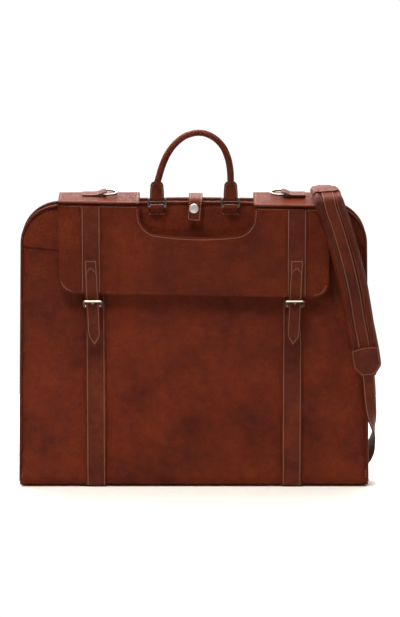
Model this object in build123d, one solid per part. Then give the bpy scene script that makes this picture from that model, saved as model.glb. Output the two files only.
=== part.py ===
from build123d import *
import os
from math import asin, cos, degrees, hypot, radians, sin

# Folded leather garment bag, standing on its fold. Millimetres, +Z up, the flap side faces -Y.
# The origin is on the floor, under the middle of the bag.
os.makedirs("parts", exist_ok=True)

# ---- bag body ----
body_width = 600.0        # across the foot of the bag
shoulder_width = 588.0    # across the top, before the corners turn in
body_height = 495.5       # crown of the top edge above the floor
body_depth = 50.0         # both halves together, panel face to panel face
crown_drop = 6.0          # how far the top edge falls from the middle to the corners
top_corner_radius = 66.0
panel_thickness = 3.0
wall_thickness = 2.0      # inner walls
fold_height = 14.0        # height of the folded spine
fold_radius = 8.0
fold_bend_share = 0.294    # how far the fold's two facets turn in, as a share of its radius
halves_gap = 10.0         # between the two inner walls when folded
piping_width = 3.0
piping_stand = 2.0
sole_gap = 1.0            # between the sole strip and the bands beside it
yoke_side_height = body_height - 71.5
yoke_middle_height = body_height - 90.5
yoke_middle_width = 300.0

# ---- reinforcing bands on the body ----
band_width = 34.0
band_thickness = 1.8
body_band_offset = 168.0
body_band_top = body_height - 123.5

# ---- flap ----
flap_width = 460.0
flap_thickness = 3.0
flap_hem_height = body_height - 159.5
flap_front_y = -36.0      # outer face of the hanging leaf
flap_corner_radius = 26.0
flap_seam_height = body_height - 5.5
flap_rear_height = body_height + 10.0
flap_rear_y = 24.0
# outer Y, Z between rear and seam
flap_shoulder = ((-10.0, body_height + 5.8), (-25.0, body_height + 3.4), (-33.0, body_height + 0.3))
seam_gap = 2.45
welt_radius = 1.4
cutout_width = 194.0
cutout_shift = 4.5
cutout_depth = 50.0
cutout_corner_radius = 34.0
cutout_sag = 4.0
flap_band_offset = 175.0
flap_root_drop = 42.0
flap_root_thickness = 2.5
flap_root_gap = 3.0       # from the rear hinge line down to the root's top

# ---- square wire hardware ----
wire = 3.4
wire_edge_radius = 0.8
loop_clearance = 0.25
loop_thickness = 2.0

# ---- closure straps and buckles ----
closure_offset = 172.0
closure_width = 23.0
closure_thickness = 2.5
closure_top = body_height - 97.5
closure_tip = body_height - 247.5
closure_taper = 20.0
buckle_width = 33.0
buckle_length = 15.0      # between the middles of the two bars
heel_height = body_height - 179.0
prong_radius = 1.5
prong_overhang = 4.0
prong_eye_width = 5.0
prong_clearance = 0.15
buckle_chape_drop = 43.0
rest_gap = 0.3            # under the buckle's bars
hole_slack = 0.4
prong_slot_gap = 0.8

# ---- handle ----
ring_offset = 62.5
ring_width = 32.5
ring_rise = 13.5          # between the middles of the lower and upper bars
ring_bar_height = body_height - 7.0
ring_stand = 6.0          # from the yoke's face to the middle of the bars
ring_corner_radius = 2.2
ring_chape_width = 23.0
ring_chape_slit = body_height - 15.5
ring_chape_tail = 16.0
slit_end_gap = 0.5
slit_side_gap = 0.3
handle_tab_width = 24.0
handle_tab_rise = 26.0
handle_tab_thickness = 5.0
grip_radius = 6.0
grip_core_radius = 3.8
grip_hollow_radius = 4.0
grip_knee_heights = (body_height + 50.5, body_height + 60.5)  # where the legs start to lean in, left and right
# corners of the arch's top, X and Z
grip_shoulders = ((-17.0, body_height + 120.5), (40.0, body_height + 118.0))
grip_bend_radii = (50.0, 60.0, 28.0, 140.0)

# ---- hanger tab with its snap ----
tab_width = 24.0
tab_thickness = 2.5
tab_end_height = body_height - 32.5
tab_top_gap = 4.0
tab_front_gap = 5.0
tab_rear_drop = 60.0
tab_end_radius = 4.0
tab_bend_gap = 2.2        # left open where the tab turns over the edge
snap_height = body_height - 10.5
snap_cap_radius = 8.0
snap_cap_thickness = 1.5
snap_socket_radius = 5.5
snap_stud_radius = 2.6
snap_stud_base_radius = 5.5
snap_base_thickness = 0.8
snap_clearance = 0.9
snap_face_gap = 0.5
snap_flange_thickness = 1.0
snap_stud_rise = 1.8

# ---- D-rings on top of the flap ----
d_ring_offset = 152.0
d_ring_width = 33.0
d_ring_depth = 24.0
d_ring_y = 2.0
d_chape_width = 25.0
d_chape_length = 38.0
d_ring_lift = 0.4         # chape clear of the flap

# ---- shoulder strap ----
strap_width = 22.0
strap_thickness = 3.0
pad_width = 48.0
pad_thickness = 9.0
cap_thickness = 2.5
layer_gap = 0.2           # between pad, strap and caps
cap_width = 46.0
strap_route = (  # a point on the strap's inner face, and which way its outer face looks
    ((214.0, 30.2, 340.0), (0, 1, 0)),
    ((215.0, 30.2, 420.0), (0, 1, 0)),
    ((217.5, 30.4, 501.0), (0, 1, 0.1)),
    ((219.0, 27.5, 509.5), (0, 0.7, 0.7)),
    ((220.5, 17.0, 515.0), (0, 0.1, 1)),
    ((221.5, 6.0, 515.5), (0, 0, 1)),
    ((223.5, -12.0, 514.5), (0, -0.2, 1)),
    ((226.0, -30.0, 510.5), (0, -0.5, 0.85)),
    ((228.5, -48.2, 502.0), (0, -0.9, 0.4)),
    ((233.0, -51.0, 484.0), (0, -1, 0)),
    ((243.0, -51.0, 456.0), (0, -1, 0)),
    ((259.0, -50.0, 402.0), (0, -1, 0)),
    ((272.0, -48.0, 348.0), (0, -1, 0)),
    ((282.0, -45.5, 290.0), (0, -1, 0)),
    ((291.0, -42.0, 246.0), (0, -1, 0)),
    ((296.5, -40.0, 210.0), (0, -1, 0)),
    ((299.0, -38.0, 186.0), (0.1, -1, 0)),
    ((302.5, -34.0, 139.0), (0.45, -1, 0)),
    ((307.0, -22.0, 112.0), (1, -0.6, 0)),
    ((309.5, -6.0, 94.0), (1, 0, 0)),
    ((308.0, 14.0, 74.0), (1, 0.2, 0.2)),
    ((303.0, 31.0, 50.0), (0.8, 0.6, 0.4)),
    ((290.0, 41.0, 26.0), (0.4, 0.3, 0.9)),
    ((268.0, 45.0, 8.0), (0.2, 0, 1)),
    ((236.0, 46.0, 1.0), (0, 0, 1)),
    ((170.0, 46.0, 1.0), (0, 0, 1)),
)
pad_stations = (5, 15)       # the pad runs between these two places on the route
upper_cap_stations = (5, 7)
lower_cap_stations = (14, 15)
slider_height = body_height - 100.5
slider_length = 14.0
slider_wall = 2.5
slider_clearance = 0.5

# ---- snap hooks on the strap's ends ----
hook_eye_width = 31.0
hook_eye_drop = 14.0
hook_neck_radius = 4.5
hook_neck_length = 9.0
hook_wire_radius = 3.0
hook_bend_radius = 9.0
hook_length = 26.0
hook_tip_rise = 12.0
hook_corner_radius = 4.0
hook_neck_sink = 0.8
hook_plate_thickness = 2.6
shank_radius = 2.0
swivel_bore_radius = 2.4
gate_radius = 1.6
gate_gap = 0.4

# ---- inside ----
zip_length = body_height - 95.5
zip_bottom = 50.0
zip_tape_width = 26.0
zip_tape_thickness = 0.8
zip_slot_width = 8.0
zip_teeth_width = 5.0
zip_teeth_thickness = 2.4
zip_slider_width = 10.0
zip_slider_length = 15.0
zip_slider_thickness = 2.6
zip_pull_length = 32.0
zip_clearance = 0.3
zip_tape_end = 8.0
zip_head_gap = 3.0
zip_pull_width = 8.0
zip_pull_thickness = 1.5
zip_pull_drop = 6.0
clamp_width = 60.0
clamp_height = 36.0
clamp_thickness = 2.0
clamp_top = body_height - 25.5
clamp_pin_radius = 2.0
clamp_lever_width = 34.0
clamp_lever_length = 60.0
clamp_pin_drop = 6.0
clamp_pin_stand = 4.5
clamp_ear_thickness = 2.4
clamp_knuckle_wall = 1.8
clamp_running_gap = 0.2
clamp_arm_thickness = 2.0
garment_strap_length = 420.0
garment_strap_width = 25.0
garment_strap_height = 230.0
garment_strap_thickness = 1.5
pocket_width = 260.0
pocket_height = 190.0
pocket_base = 60.0
pocket_thickness = 1.5
lining_gap = 3.5          # between the back panel and the garment strap

# ---- values that follow from those above ----
front_y = -body_depth / 2
back_y = body_depth / 2
inner_y = halves_gap / 2
base_z = band_thickness
wire_reach = (wire / 2 - wire_edge_radius) * 2**0.5 + wire_edge_radius
loop_inner = wire_reach + loop_clearance
loop_outer = loop_inner + loop_thickness
flap_back_y = flap_front_y + flap_thickness
hinge_rear = (flap_rear_y + 0.5, flap_rear_height - flap_thickness / 2)
closure_back_y = flap_front_y - band_thickness
heel_y = front_y - band_thickness - loop_outer - rest_gap
far_bar_y = closure_back_y - closure_thickness - wire_reach - rest_gap
buckle_tilt = degrees(asin((heel_y - far_bar_y) / buckle_length))
prong_lift = degrees(asin((wire_reach + prong_radius + prong_clearance) / buckle_length))
ring_y = front_y - ring_stand
tab_front_y = front_y - tab_front_gap
tab_top_z = body_height + tab_top_gap
strap_route = [((x * body_width / 600.0, y, z * body_height / 495.5), way)
               for (x, y, z), way in strap_route]


# ---- small helpers ----
def slab(face, near, far):
    """An upright X-Z face made into a plate between two Y positions, near (smaller) and far."""
    return extrude(Plane.XZ.offset(-far) * face, far - near)


def along_x(face, middle, width):
    """A Y-Z face made into a bar along X, centred on middle."""
    return extrude(Plane.YZ.offset(middle - width / 2) * face, width)


def along_y(face, middle, width):
    """An X-Z face made into a bar along Y, centred on middle."""
    return slab(face, middle - width / 2, middle + width / 2)


def polygon(points):
    """A flat face with straight sides through the points."""
    return make_face(Polyline(*points, close=True))


def strip(points, thickness):
    """The section of a sheet that lies to the left of a line through the points."""
    count = len(points)
    turns = []
    for i in range(count - 1):
        run, rise = points[i + 1][0] - points[i][0], points[i + 1][1] - points[i][1]
        turns.append((-rise / hypot(run, rise), run / hypot(run, rise)))
    inner = []
    for i, (u, v) in enumerate(points):
        before, after = turns[max(i - 1, 0)], turns[min(i, count - 2)]
        share = thickness / (1 + before[0] * after[0] + before[1] * after[1])
        inner.append((u + share * (before[0] + after[0]), v + share * (before[1] + after[1])))
    return polygon(list(points) + inner[::-1])


def disc_x(radius, y, z):
    """A round Y-Z face at a place."""
    return Pos(y, z) * Circle(radius)


def block(x0, x1, y0, y1, z0, z1):
    """A box between two corners."""
    return Pos((x0 + x1) / 2, (y0 + y1) / 2, (z0 + z1) / 2) * Box(x1 - x0, y1 - y0, z1 - z0)


def wire_ring(width, height, radius):
    """A closed frame of square wire on the local XY plane, its bars' middles width and height apart."""
    path = RectangleRounded(width, height, radius).wire()
    section = Plane(origin=path @ 0, z_dir=path % 0) * RectangleRounded(wire, wire, wire_edge_radius)
    return sweep(section, path=path)


def ribbon(stations, width, inner, outer):
    """A flat strap through the stations, from inner to outer off its route, as one solid."""
    sections = []
    for i, (point, outward) in enumerate(stations):
        here = Vector(*point)
        ahead = Vector(*stations[min(i + 1, len(stations) - 1)][0])
        behind = Vector(*stations[max(i - 1, 0)][0])
        across = (ahead - behind).cross(Vector(*outward)).normalized() * (width / 2)
        normal = across.cross(ahead - behind).normalized()
        corners = [here - across + normal * inner, here + across + normal * inner,
                   here + across + normal * outer, here - across + normal * outer]
        sections.append(make_face(Polyline(*corners, close=True)))
    return loft(sections, ruled=True)


def save(node, shape):
    """Write one node's STEP file."""
    export_step(shape, "parts/" + node + ".step")


# ---- bag body ----
def outline(inset=0.0):
    """The upright outline of the bag: straight sides, crowned top, round corners."""
    foot, head = body_width / 2, shoulder_width / 2
    brow = body_height - crown_drop
    rise = brow - base_z
    side_x = foot + (head - foot) * (rise - top_corner_radius) / rise
    lines = [
        Line((-foot, base_z), (foot, base_z)),
        Line((foot, base_z), (side_x, brow - top_corner_radius)),
        TangentArc((side_x, brow - top_corner_radius), (head - top_corner_radius, brow),
                   tangent=(0, 1)),
        ThreePointArc((head - top_corner_radius, brow), (0, body_height),
                      (top_corner_radius - head, brow)),
        TangentArc((-side_x, brow - top_corner_radius), (top_corner_radius - head, brow),
                   tangent=(0, 1)),
        Line((-side_x, brow - top_corner_radius), (-foot, base_z)),
    ]
    face = make_face(lines)
    if inset:
        face = offset(face, amount=-inset, kind=Kind.INTERSECTION)
    return face


def above_fold(shape):
    """What is left of a shape above the folded spine."""
    return shape - block(-body_width, body_width, -body_depth, body_depth, -fold_height,
                         base_z + fold_height)


def yoke_line():
    """The area above the yoke seam, on the X-Z plane."""
    half, middle = body_width / 2 + 10, yoke_middle_width / 2
    top = body_height + 10
    return polygon([(-half, yoke_side_height), (-middle, yoke_middle_height),
                    (middle, yoke_middle_height), (half, yoke_side_height), (half, top), (-half, top)])


def piping(front):
    """A raised edge around the top and sides of one outer panel."""
    rim = outline() - outline(piping_width)
    near = front_y - piping_stand if front else back_y
    far = front_y if front else back_y + piping_stand
    return above_fold(slab(rim, near, far))


def body_band(side):
    """One reinforcing band: down the front, under the fold and a little way up the back."""
    outer = [(front_y, body_band_top), (front_y, base_z + fold_radius), (front_y + fold_radius, base_z),
             (back_y - fold_radius, base_z), (back_y, base_z + fold_radius), (back_y, body_band_top)]
    bend = fold_bend_share * fold_radius
    route = [outer[0], outer[1], (front_y + bend, base_z + bend), outer[2], outer[3],
             (back_y - bend, base_z + bend), outer[4], outer[5]]
    return along_x(strip(route[::-1], band_thickness), side * body_band_offset, band_width)


def fold_spine():
    """The folded strip under the bag, with a flat sole between the bands that it stands on."""
    bend = fold_bend_share * fold_radius
    top = base_z + fold_height
    route = [(front_y, top), (front_y, base_z + fold_radius), (front_y + bend, base_z + bend),
             (front_y + fold_radius, base_z), (back_y - fold_radius, base_z),
             (back_y - bend, base_z + bend), (back_y, base_z + fold_radius), (back_y, top)]
    spine = along_x(strip(route, panel_thickness), 0, body_width - 2 * panel_thickness)
    half_length = body_band_offset - band_width / 2 - sole_gap
    half_depth = body_depth / 2 - fold_radius
    return spine + block(-half_length, half_length, -half_depth, half_depth, 0, base_z)


def make_body():
    """Panels, gussets, inner walls, piping, spine and bands."""
    ring = outline() - outline(panel_thickness)
    core = outline(panel_thickness)
    front = above_fold(slab(outline(), front_y, front_y + panel_thickness))
    yoke_cut = slab(yoke_line(), front_y - 1, front_y + panel_thickness + 1)
    slit_half, slit_rise = ring_chape_width / 2 + slit_end_gap, loop_thickness + slit_side_gap
    slits = [block(s * ring_offset - slit_half, s * ring_offset + slit_half, front_y - 1,
                   front_y + panel_thickness + 1, ring_chape_slit - slit_rise, ring_chape_slit + slit_rise)
             for s in (-1, 1)]
    save("front_panel", front - yoke_cut)
    save("front_yoke", (front & yoke_cut) - slits[0] - slits[1])
    save("back_panel", above_fold(slab(outline(), back_y - panel_thickness, back_y)))
    gusset_cut = block(-body_width / 2 + panel_thickness, body_width / 2 - panel_thickness,
                       -body_depth, body_depth, 0, base_z + fold_height + panel_thickness)
    lift = block(-body_width, body_width, -body_depth, body_depth, -1, base_z + 1)
    save("front_gusset", slab(ring, front_y + panel_thickness, -inner_y) - gusset_cut - lift)
    save("back_gusset", slab(ring, inner_y, back_y - panel_thickness) - gusset_cut - lift)
    inner = slab(core, -inner_y - wall_thickness, -inner_y)
    wall_cut = block(-body_width, body_width, -body_depth, body_depth, 0,
                     base_z + fold_height + panel_thickness)
    save("front_inner_wall", inner - wall_cut)
    slot = block(-zip_slot_width / 2, zip_slot_width / 2, 0, body_depth, zip_bottom,
                 zip_bottom + zip_length)
    save("back_inner_wall", slab(core, inner_y, inner_y + wall_thickness) - wall_cut - slot)
    save("bottom_fold", fold_spine())
    save("front_piping", piping(True))
    save("back_piping", piping(False))
    for name, side in (("left", -1), ("right", 1)):
        save("body_band_" + name, body_band(side))


# ---- flap ----
def flap_section():
    """The Y-Z section of the flap's top, from its rear edge to its front seam."""
    seam = (flap_front_y, flap_seam_height + seam_gap)
    return strip([(flap_rear_y, flap_rear_height), *flap_shoulder, seam], flap_thickness)


def cutout_face(depth, half, corner):
    """The rounded opening in the flap's middle, reaching above the seam."""
    top, low = flap_seam_height + 40, flap_seam_height - depth
    shape = make_face([
        Line((half, top), (-half, top)),
        Line((-half, top), (-half, low + corner)),
        TangentArc((-half, low + corner), (-half + corner, low), tangent=(0, -1)),
        ThreePointArc((-half + corner, low), (0, low - cutout_sag), (half - corner, low)),
        TangentArc((half, low + corner), (half - corner, low), tangent=(0, -1)),
        Line((half, low + corner), (half, top)),
    ])
    return Pos(cutout_shift, 0) * shape


def make_flap():
    """Top halves, hanging leaf, bands, welts and the sewn roots on the back."""
    half, cut = flap_width / 2, cutout_width / 2
    cut_left, cut_right = cutout_shift - cut, cutout_shift + cut
    welt = disc_x(welt_radius, flap_front_y - welt_radius - 0.1, flap_seam_height + seam_gap + welt_radius)
    root_y = back_y + piping_stand
    root = strip([(root_y, hinge_rear[1] - flap_root_gap), (root_y, hinge_rear[1] - flap_root_drop)],
                 flap_root_thickness)
    welts, roots = [], []
    for name, x0, x1 in (("left", -half, cut_left), ("right", cut_right, half)):
        middle, width = (x0 + x1) / 2, x1 - x0
        save("flap_top_" + name, along_x(flap_section(), middle, width))
        welts.append(along_x(welt, middle, width))
        roots.append(along_x(root, middle, width))
    save("flap_welts", Compound(children=welts))
    save("flap_roots", Compound(children=roots))
    leaf = polygon([(-half, flap_hem_height), (half, flap_hem_height), (half, flap_seam_height),
                    (-half, flap_seam_height)])
    low = leaf.vertices().sort_by(Axis.Y)[:2]
    leaf = fillet(low, flap_corner_radius) - cutout_face(cutout_depth, cut, cutout_corner_radius)
    save("flap_front", slab(leaf, flap_front_y, flap_back_y))


# ---- closure straps and buckles ----
def closure_strap(side):
    """A strap sewn to the flap, with a pointed tip and a long hole for the prong."""
    half, x = closure_width / 2, side * closure_offset
    shape = polygon([(x - half, closure_top), (x - half, closure_tip + closure_taper),
                     (x, closure_tip), (x + half, closure_tip + closure_taper), (x + half, closure_top)])
    angle = radians(buckle_tilt + prong_lift)
    faces = (closure_back_y, closure_back_y - closure_thickness)
    reach = [(heel_y - y) / sin(angle) * cos(angle) for y in faces]
    slack = (prong_radius + hole_slack) / sin(angle)
    low, high = heel_height + reach[0] - slack, heel_height + reach[1] + slack
    hole = Pos(x, (low + high) / 2) * RectangleRounded(2 * prong_radius + 1.4, high - low, prong_radius)
    return slab(shape - hole, closure_back_y - closure_thickness, closure_back_y)


def buckle_chape(side):
    """The folded leather that holds a buckle's heel bar, slotted for the prong."""
    lining = front_y - band_thickness
    tail = heel_height - buckle_chape_drop
    section = disc_x(loop_outer, heel_y, heel_height) + polygon([
        (lining, heel_height - 2), (lining, tail), (lining - 2 * loop_thickness, tail),
        (lining - 2 * loop_thickness, heel_height - loop_outer - 2),
        (heel_y - loop_outer * 0.8, heel_height - 2.5)])
    section = section - disc_x(loop_inner, heel_y, heel_height)
    slot_half = prong_eye_width / 2 + prong_slot_gap
    slot = block(side * closure_offset - slot_half, side * closure_offset + slot_half, heel_y - 10,
                 lining + 1, heel_height - loop_outer - 1, heel_height + 10)
    return along_x(section, side * closure_offset, closure_width) - slot


def buckle_frame(side):
    """A square-wire frame leaning out over the strap, standing on its heel bar."""
    frame = Pos(0, buckle_length / 2, 0) * wire_ring(buckle_width - wire, buckle_length, ring_corner_radius)
    return Pos(side * closure_offset, heel_y, heel_height) * Rot(90 + buckle_tilt, 0, 0) * frame


def buckle_prong(side):
    """A pin with an eye around the heel bar, resting on the far bar."""
    eye = extrude(Circle(loop_outer) - Circle(loop_inner), prong_eye_width / 2, both=True)
    eye = Rot(0, 90, 0) * eye
    start = (loop_inner + loop_outer) / 2
    pin = Pos(0, (start + buckle_length + prong_overhang) / 2, 0) * Rot(90, 0, 0) * Cylinder(
        prong_radius, buckle_length + prong_overhang - start)
    shape = eye + pin
    return Pos(side * closure_offset, heel_y, heel_height) * Rot(90 + buckle_tilt + prong_lift, 0, 0) * shape


def make_closures():
    """Both buckled straps, and the bands that they are sewn to."""
    bands, chapes = [], []
    for name, side in (("left", -1), ("right", 1)):
        band_x = side * flap_band_offset
        band = block(band_x - band_width / 2, band_x + band_width / 2, flap_front_y - band_thickness,
                     flap_front_y, flap_hem_height, flap_seam_height - seam_gap)
        bands.append(band)
        save("closure_strap_" + name, closure_strap(side))
        chapes.append(buckle_chape(side))
        save("buckle_frame_" + name, buckle_frame(side))
        save("buckle_prong_" + name, buckle_prong(side))
    save("flap_bands", Compound(children=bands))
    save("buckle_chapes", Compound(children=chapes))


# ---- handle ----
def handle_ring(side):
    """An upright square-wire ring standing on its lower bar."""
    ring = wire_ring(ring_width - wire, ring_rise, ring_corner_radius)
    return Pos(side * ring_offset, ring_y, ring_bar_height + ring_rise / 2) * Rot(90, 0, 0) * ring


def ring_chape(side):
    """The leather loop around a ring's lower bar, passing through the yoke."""
    inside = front_y + panel_thickness
    section = disc_x(loop_outer, ring_y, ring_bar_height) + polygon([
        (ring_y - loop_outer * 0.75, ring_bar_height - 2), (front_y, ring_chape_slit - loop_thickness),
        (inside + 2 * loop_thickness, ring_chape_slit - loop_thickness),
        (inside + 2 * loop_thickness, ring_chape_slit + loop_thickness),
        (front_y, ring_chape_slit + loop_thickness), (ring_y + loop_outer * 0.9, ring_bar_height - 2)])
    section = section - disc_x(loop_inner, ring_y, ring_bar_height)
    tail = block(-ring_chape_width / 2, ring_chape_width / 2, inside, inside + 2 * loop_thickness,
                 ring_chape_slit - ring_chape_tail, ring_chape_slit + loop_thickness)
    return along_x(section, side * ring_offset, ring_chape_width) + Pos(side * ring_offset, 0, 0) * tail


def handle_tab(side):
    """The folded leather end of the handle, around a ring's upper bar."""
    bar = ring_bar_height + ring_rise
    half = handle_tab_thickness / 2
    section = disc_x(loop_outer, ring_y, bar) + polygon([
        (ring_y - half, bar), (ring_y + half, bar), (ring_y + half, bar + handle_tab_rise),
        (ring_y - half, bar + handle_tab_rise)])
    section = section - disc_x(loop_inner, ring_y, bar)
    return along_x(section, side * ring_offset, handle_tab_width)


def grip_path():
    """The middle line of the rolled grip, an arch on the rings' plane."""
    foot = ring_bar_height + ring_rise + handle_tab_rise
    left, right = grip_knee_heights
    points = [(-ring_offset, foot), (-ring_offset, left), *grip_shoulders, (ring_offset, right),
              (ring_offset, foot)]
    spots = [Vector(x, ring_y, z) for x, z in points]
    return FilletPolyline(*spots, radius=list(grip_bend_radii))


def make_handle():
    """Rings, their chapes, the two end tabs, and the rolled grip with its core."""
    path = grip_path()
    start = Plane(origin=path @ 0, z_dir=path % 0)
    save("handle_grip", sweep(start * (Circle(grip_radius) - Circle(grip_hollow_radius)), path=path))
    save("handle_core", sweep(start * Circle(grip_core_radius), path=path))
    for name, side in (("left", -1), ("right", 1)):
        save("handle_ring_" + name, handle_ring(side))
        save("handle_tab_" + name, handle_tab(side))
    save("handle_ring_chapes", Compound(children=[ring_chape(-1), ring_chape(1)]))


# ---- hanger tab ----
def make_hanger_tab():
    """A strap from the back, over the top, snapped to the front."""
    over = tab_top_z
    rear_y = back_y + piping_stand + tab_thickness
    upper = strip([(rear_y, body_height - tab_rear_drop), (rear_y, over), (back_y - 1.0, over + tab_thickness),
                   (tab_front_y + 2.0, over + tab_thickness)], tab_thickness)
    save("hanger_tab_strap", along_x(upper, 0, tab_width))
    end = polygon([(-tab_width / 2, tab_end_height), (tab_width / 2, tab_end_height),
                   (tab_width / 2, over - tab_bend_gap), (-tab_width / 2, over - tab_bend_gap)])
    end = fillet(end.vertices().sort_by(Axis.Y)[:2], tab_end_radius)
    post = Pos(0, snap_height) * Circle(snap_socket_radius / 2)
    save("hanger_tab_end", slab(end - post, tab_front_y - tab_thickness, tab_front_y))
    cap = Pos(0, snap_height) * Circle(snap_cap_radius)
    cap = slab(cap, tab_front_y - tab_thickness - snap_cap_thickness, tab_front_y - tab_thickness)
    save("snap_cap", fillet(cap.faces().sort_by(Axis.Y)[0].edges(), snap_cap_thickness * 0.8))
    ring = Circle(snap_socket_radius) - Circle(snap_stud_radius + snap_clearance)
    depth = tab_front_gap - snap_base_thickness - snap_face_gap
    neck = slab(Pos(0, snap_height) * Circle(snap_socket_radius / 2), tab_front_y - tab_thickness, tab_front_y)
    flange_y = tab_front_y + snap_flange_thickness
    flange = slab(Pos(0, snap_height) * Circle(snap_socket_radius), tab_front_y, flange_y)
    save("snap_socket", neck + flange + slab(Pos(0, snap_height) * ring, flange_y, tab_front_y + depth))
    base = slab(Pos(0, snap_height) * Circle(snap_stud_base_radius), front_y - snap_base_thickness, front_y)
    stud = slab(Pos(0, snap_height) * Circle(snap_stud_radius),
                front_y - snap_base_thickness - snap_stud_rise, front_y - snap_base_thickness)
    save("snap_stud", base + stud)


# ---- D-rings ----
def d_plane(side):
    """The plane that a D-ring lies on: its bar along local Y, its bow along local X, its normal up."""
    (y1, z1), (y0, z0) = (flap_rear_y, flap_rear_height), flap_shoulder[0]
    slope = (z1 - z0) / (y1 - y0)
    height = flap_rear_height + (d_ring_y - flap_rear_y) * slope
    lift = loop_outer + d_ring_lift
    normal = Vector(0, -slope, 1).normalized()
    origin = Vector(side * d_ring_offset, d_ring_y, height) + normal * lift
    return Plane(origin=origin, x_dir=(-side, 0, 0), z_dir=normal)


def make_d_rings():
    """A D-ring and its chape on each half of the flap's top."""
    bow = d_ring_width / 2 - wire / 2
    reach = d_ring_depth - wire
    chapes = []
    for name, side in (("left", -1), ("right", 1)):
        plane = d_plane(side)
        path = Wire([Line((0, -bow), (0, bow)).edge(), Line((0, bow), (reach - bow, bow)).edge(),
                     ThreePointArc((reach - bow, bow), (reach, 0), (reach - bow, -bow)).edge(),
                     Line((reach - bow, -bow), (0, -bow)).edge()])
        section = Plane(origin=(0, 0, 0), z_dir=(0, 1, 0)) * RectangleRounded(wire, wire, wire_edge_radius)
        ring = sweep(section, path=path, transition=Transition.ROUND)
        save("d_ring_" + name, plane * ring)
        loop = Circle(loop_outer) + Pos(-d_chape_length / 2, loop_thickness - loop_outer) * Rectangle(
            d_chape_length, 2 * loop_thickness)
        loop = loop - Circle(loop_inner)
        chape = extrude(Plane.XZ * loop, d_chape_width / 2, both=True)
        chapes.append(plane * chape)
    save("d_ring_chapes", Compound(children=chapes))


# ---- shoulder strap ----
def end_loop(centre, across, width):
    """The round turn of a strap's end about a bar."""
    plane = Plane(origin=Vector(*centre), z_dir=across)
    ring = Circle(loop_inner + strap_thickness) - Circle(loop_inner)
    return extrude(plane * ring, width / 2, both=True)


def hook_frame(end):
    """Where a snap hook sits: its origin on the eye's bar, local X along the bar, local -Z to the hook."""
    first, last = strap_route[0][0], strap_route[-1][0]
    reach = loop_inner + strap_thickness
    if end == "upper":
        return Plane(origin=(first[0], first[1] + strap_thickness / 2, first[2] - reach + 1.0),
                     x_dir=(1, 0, 0), z_dir=(0, 0, 1))
    return Plane(origin=(last[0] - reach + 1.0, last[1], last[2] + reach - 0.5), x_dir=(0, 1, 0),
                 z_dir=(1, 0, 0))


def snap_hook(plane):
    """Swivel eye, hook and gate of one snap hook, as three shapes."""
    eye = wire_ring(hook_eye_width - wire, hook_eye_drop, ring_corner_radius)
    eye = Pos(0, 0, -hook_eye_drop / 2) * Rot(90, 0, 0) * eye
    top = -hook_eye_drop - wire / 2
    low = top - hook_neck_length
    collar = Pos(0, 0, low + hook_neck_length / 2 + hook_neck_sink) * Cylinder(hook_neck_radius, hook_neck_length)
    bore = Pos(0, 0, low + 2.5) * Cylinder(swivel_bore_radius, 8.0)
    swivel = eye + (collar - bore)
    shank = Pos(0, 0, low + 1.0) * Cylinder(shank_radius, 5.0)
    plate = Pos(0, 0, low - 2.2) * Cylinder(hook_neck_radius, hook_plate_thickness)
    r = hook_bend_radius
    foot = low - 3.0
    toe = foot - hook_length
    tip = toe + hook_tip_rise
    path = FilletPolyline((0, 0, foot), (r, 0, foot - 6), (r, 0, toe), (-r, 0, toe), (-r, 0, tip),
                          radius=hook_corner_radius)
    hook = sweep(Plane(origin=path @ 0, z_dir=path % 0) * Circle(hook_wire_radius), path=path)
    gate_low, gate_top = tip + gate_gap, foot - 4.2
    gate = Pos(-r, 0, (gate_low + gate_top) / 2) * Cylinder(gate_radius, gate_top - gate_low)
    knuckle = block(-r - 2.5, -3.2, -1.4, 1.4, low - 3.4, low - 1.0)
    return plane * swivel, plane * (shank + plate + hook + knuckle), plane * gate


def slider_spot():
    """Where the strap's sliding adjuster sits, on the strap behind the bag."""
    (x0, y0, z0), (x1, y1, z1) = strap_route[0][0], strap_route[1][0]
    share = (slider_height - z0) / (z1 - z0)
    return Vector(x0 + (x1 - x0) * share, y0 + (y1 - y0) * share, slider_height)


def make_shoulder_strap():
    """Strap, pad, caps, adjuster and the two snap hooks."""
    strap = ribbon(strap_route, strap_width, 0.0, strap_thickness)
    for end in ("upper", "lower"):
        plane = hook_frame(end)
        strap = strap - Plane(origin=plane.origin, z_dir=plane.x_dir) * Cylinder(loop_inner, 4 * strap_width)
        strap = strap + end_loop(tuple(plane.origin), tuple(plane.x_dir), strap_width)
        swivel, hook, gate = snap_hook(plane)
        save("hook_swivel_" + end, swivel)
        save("hook_body_" + end, hook)
        save("hook_gate_" + end, gate)
    save("shoulder_strap", strap)
    first, last = pad_stations
    save("shoulder_pad", ribbon(strap_route[first:last + 1], pad_width, -pad_thickness, -layer_gap))
    first, last = upper_cap_stations
    cap = (cap_width, strap_thickness + layer_gap, strap_thickness + cap_thickness)
    save("pad_cap_upper", ribbon(strap_route[first:last + 1], *cap))
    first, last = lower_cap_stations
    save("pad_cap_lower", ribbon(strap_route[first:last + 1], *cap))
    spot = slider_spot()
    across, through = strap_width + 4 * slider_clearance, strap_thickness + 2 * slider_clearance
    frame = Box(across + 2 * slider_wall, through + 2 * slider_wall, slider_length)
    frame = frame - Box(across, through, 2 * slider_length)
    save("strap_slider", Pos(spot.X, spot.Y + strap_thickness / 2, spot.Z) * frame)


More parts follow.
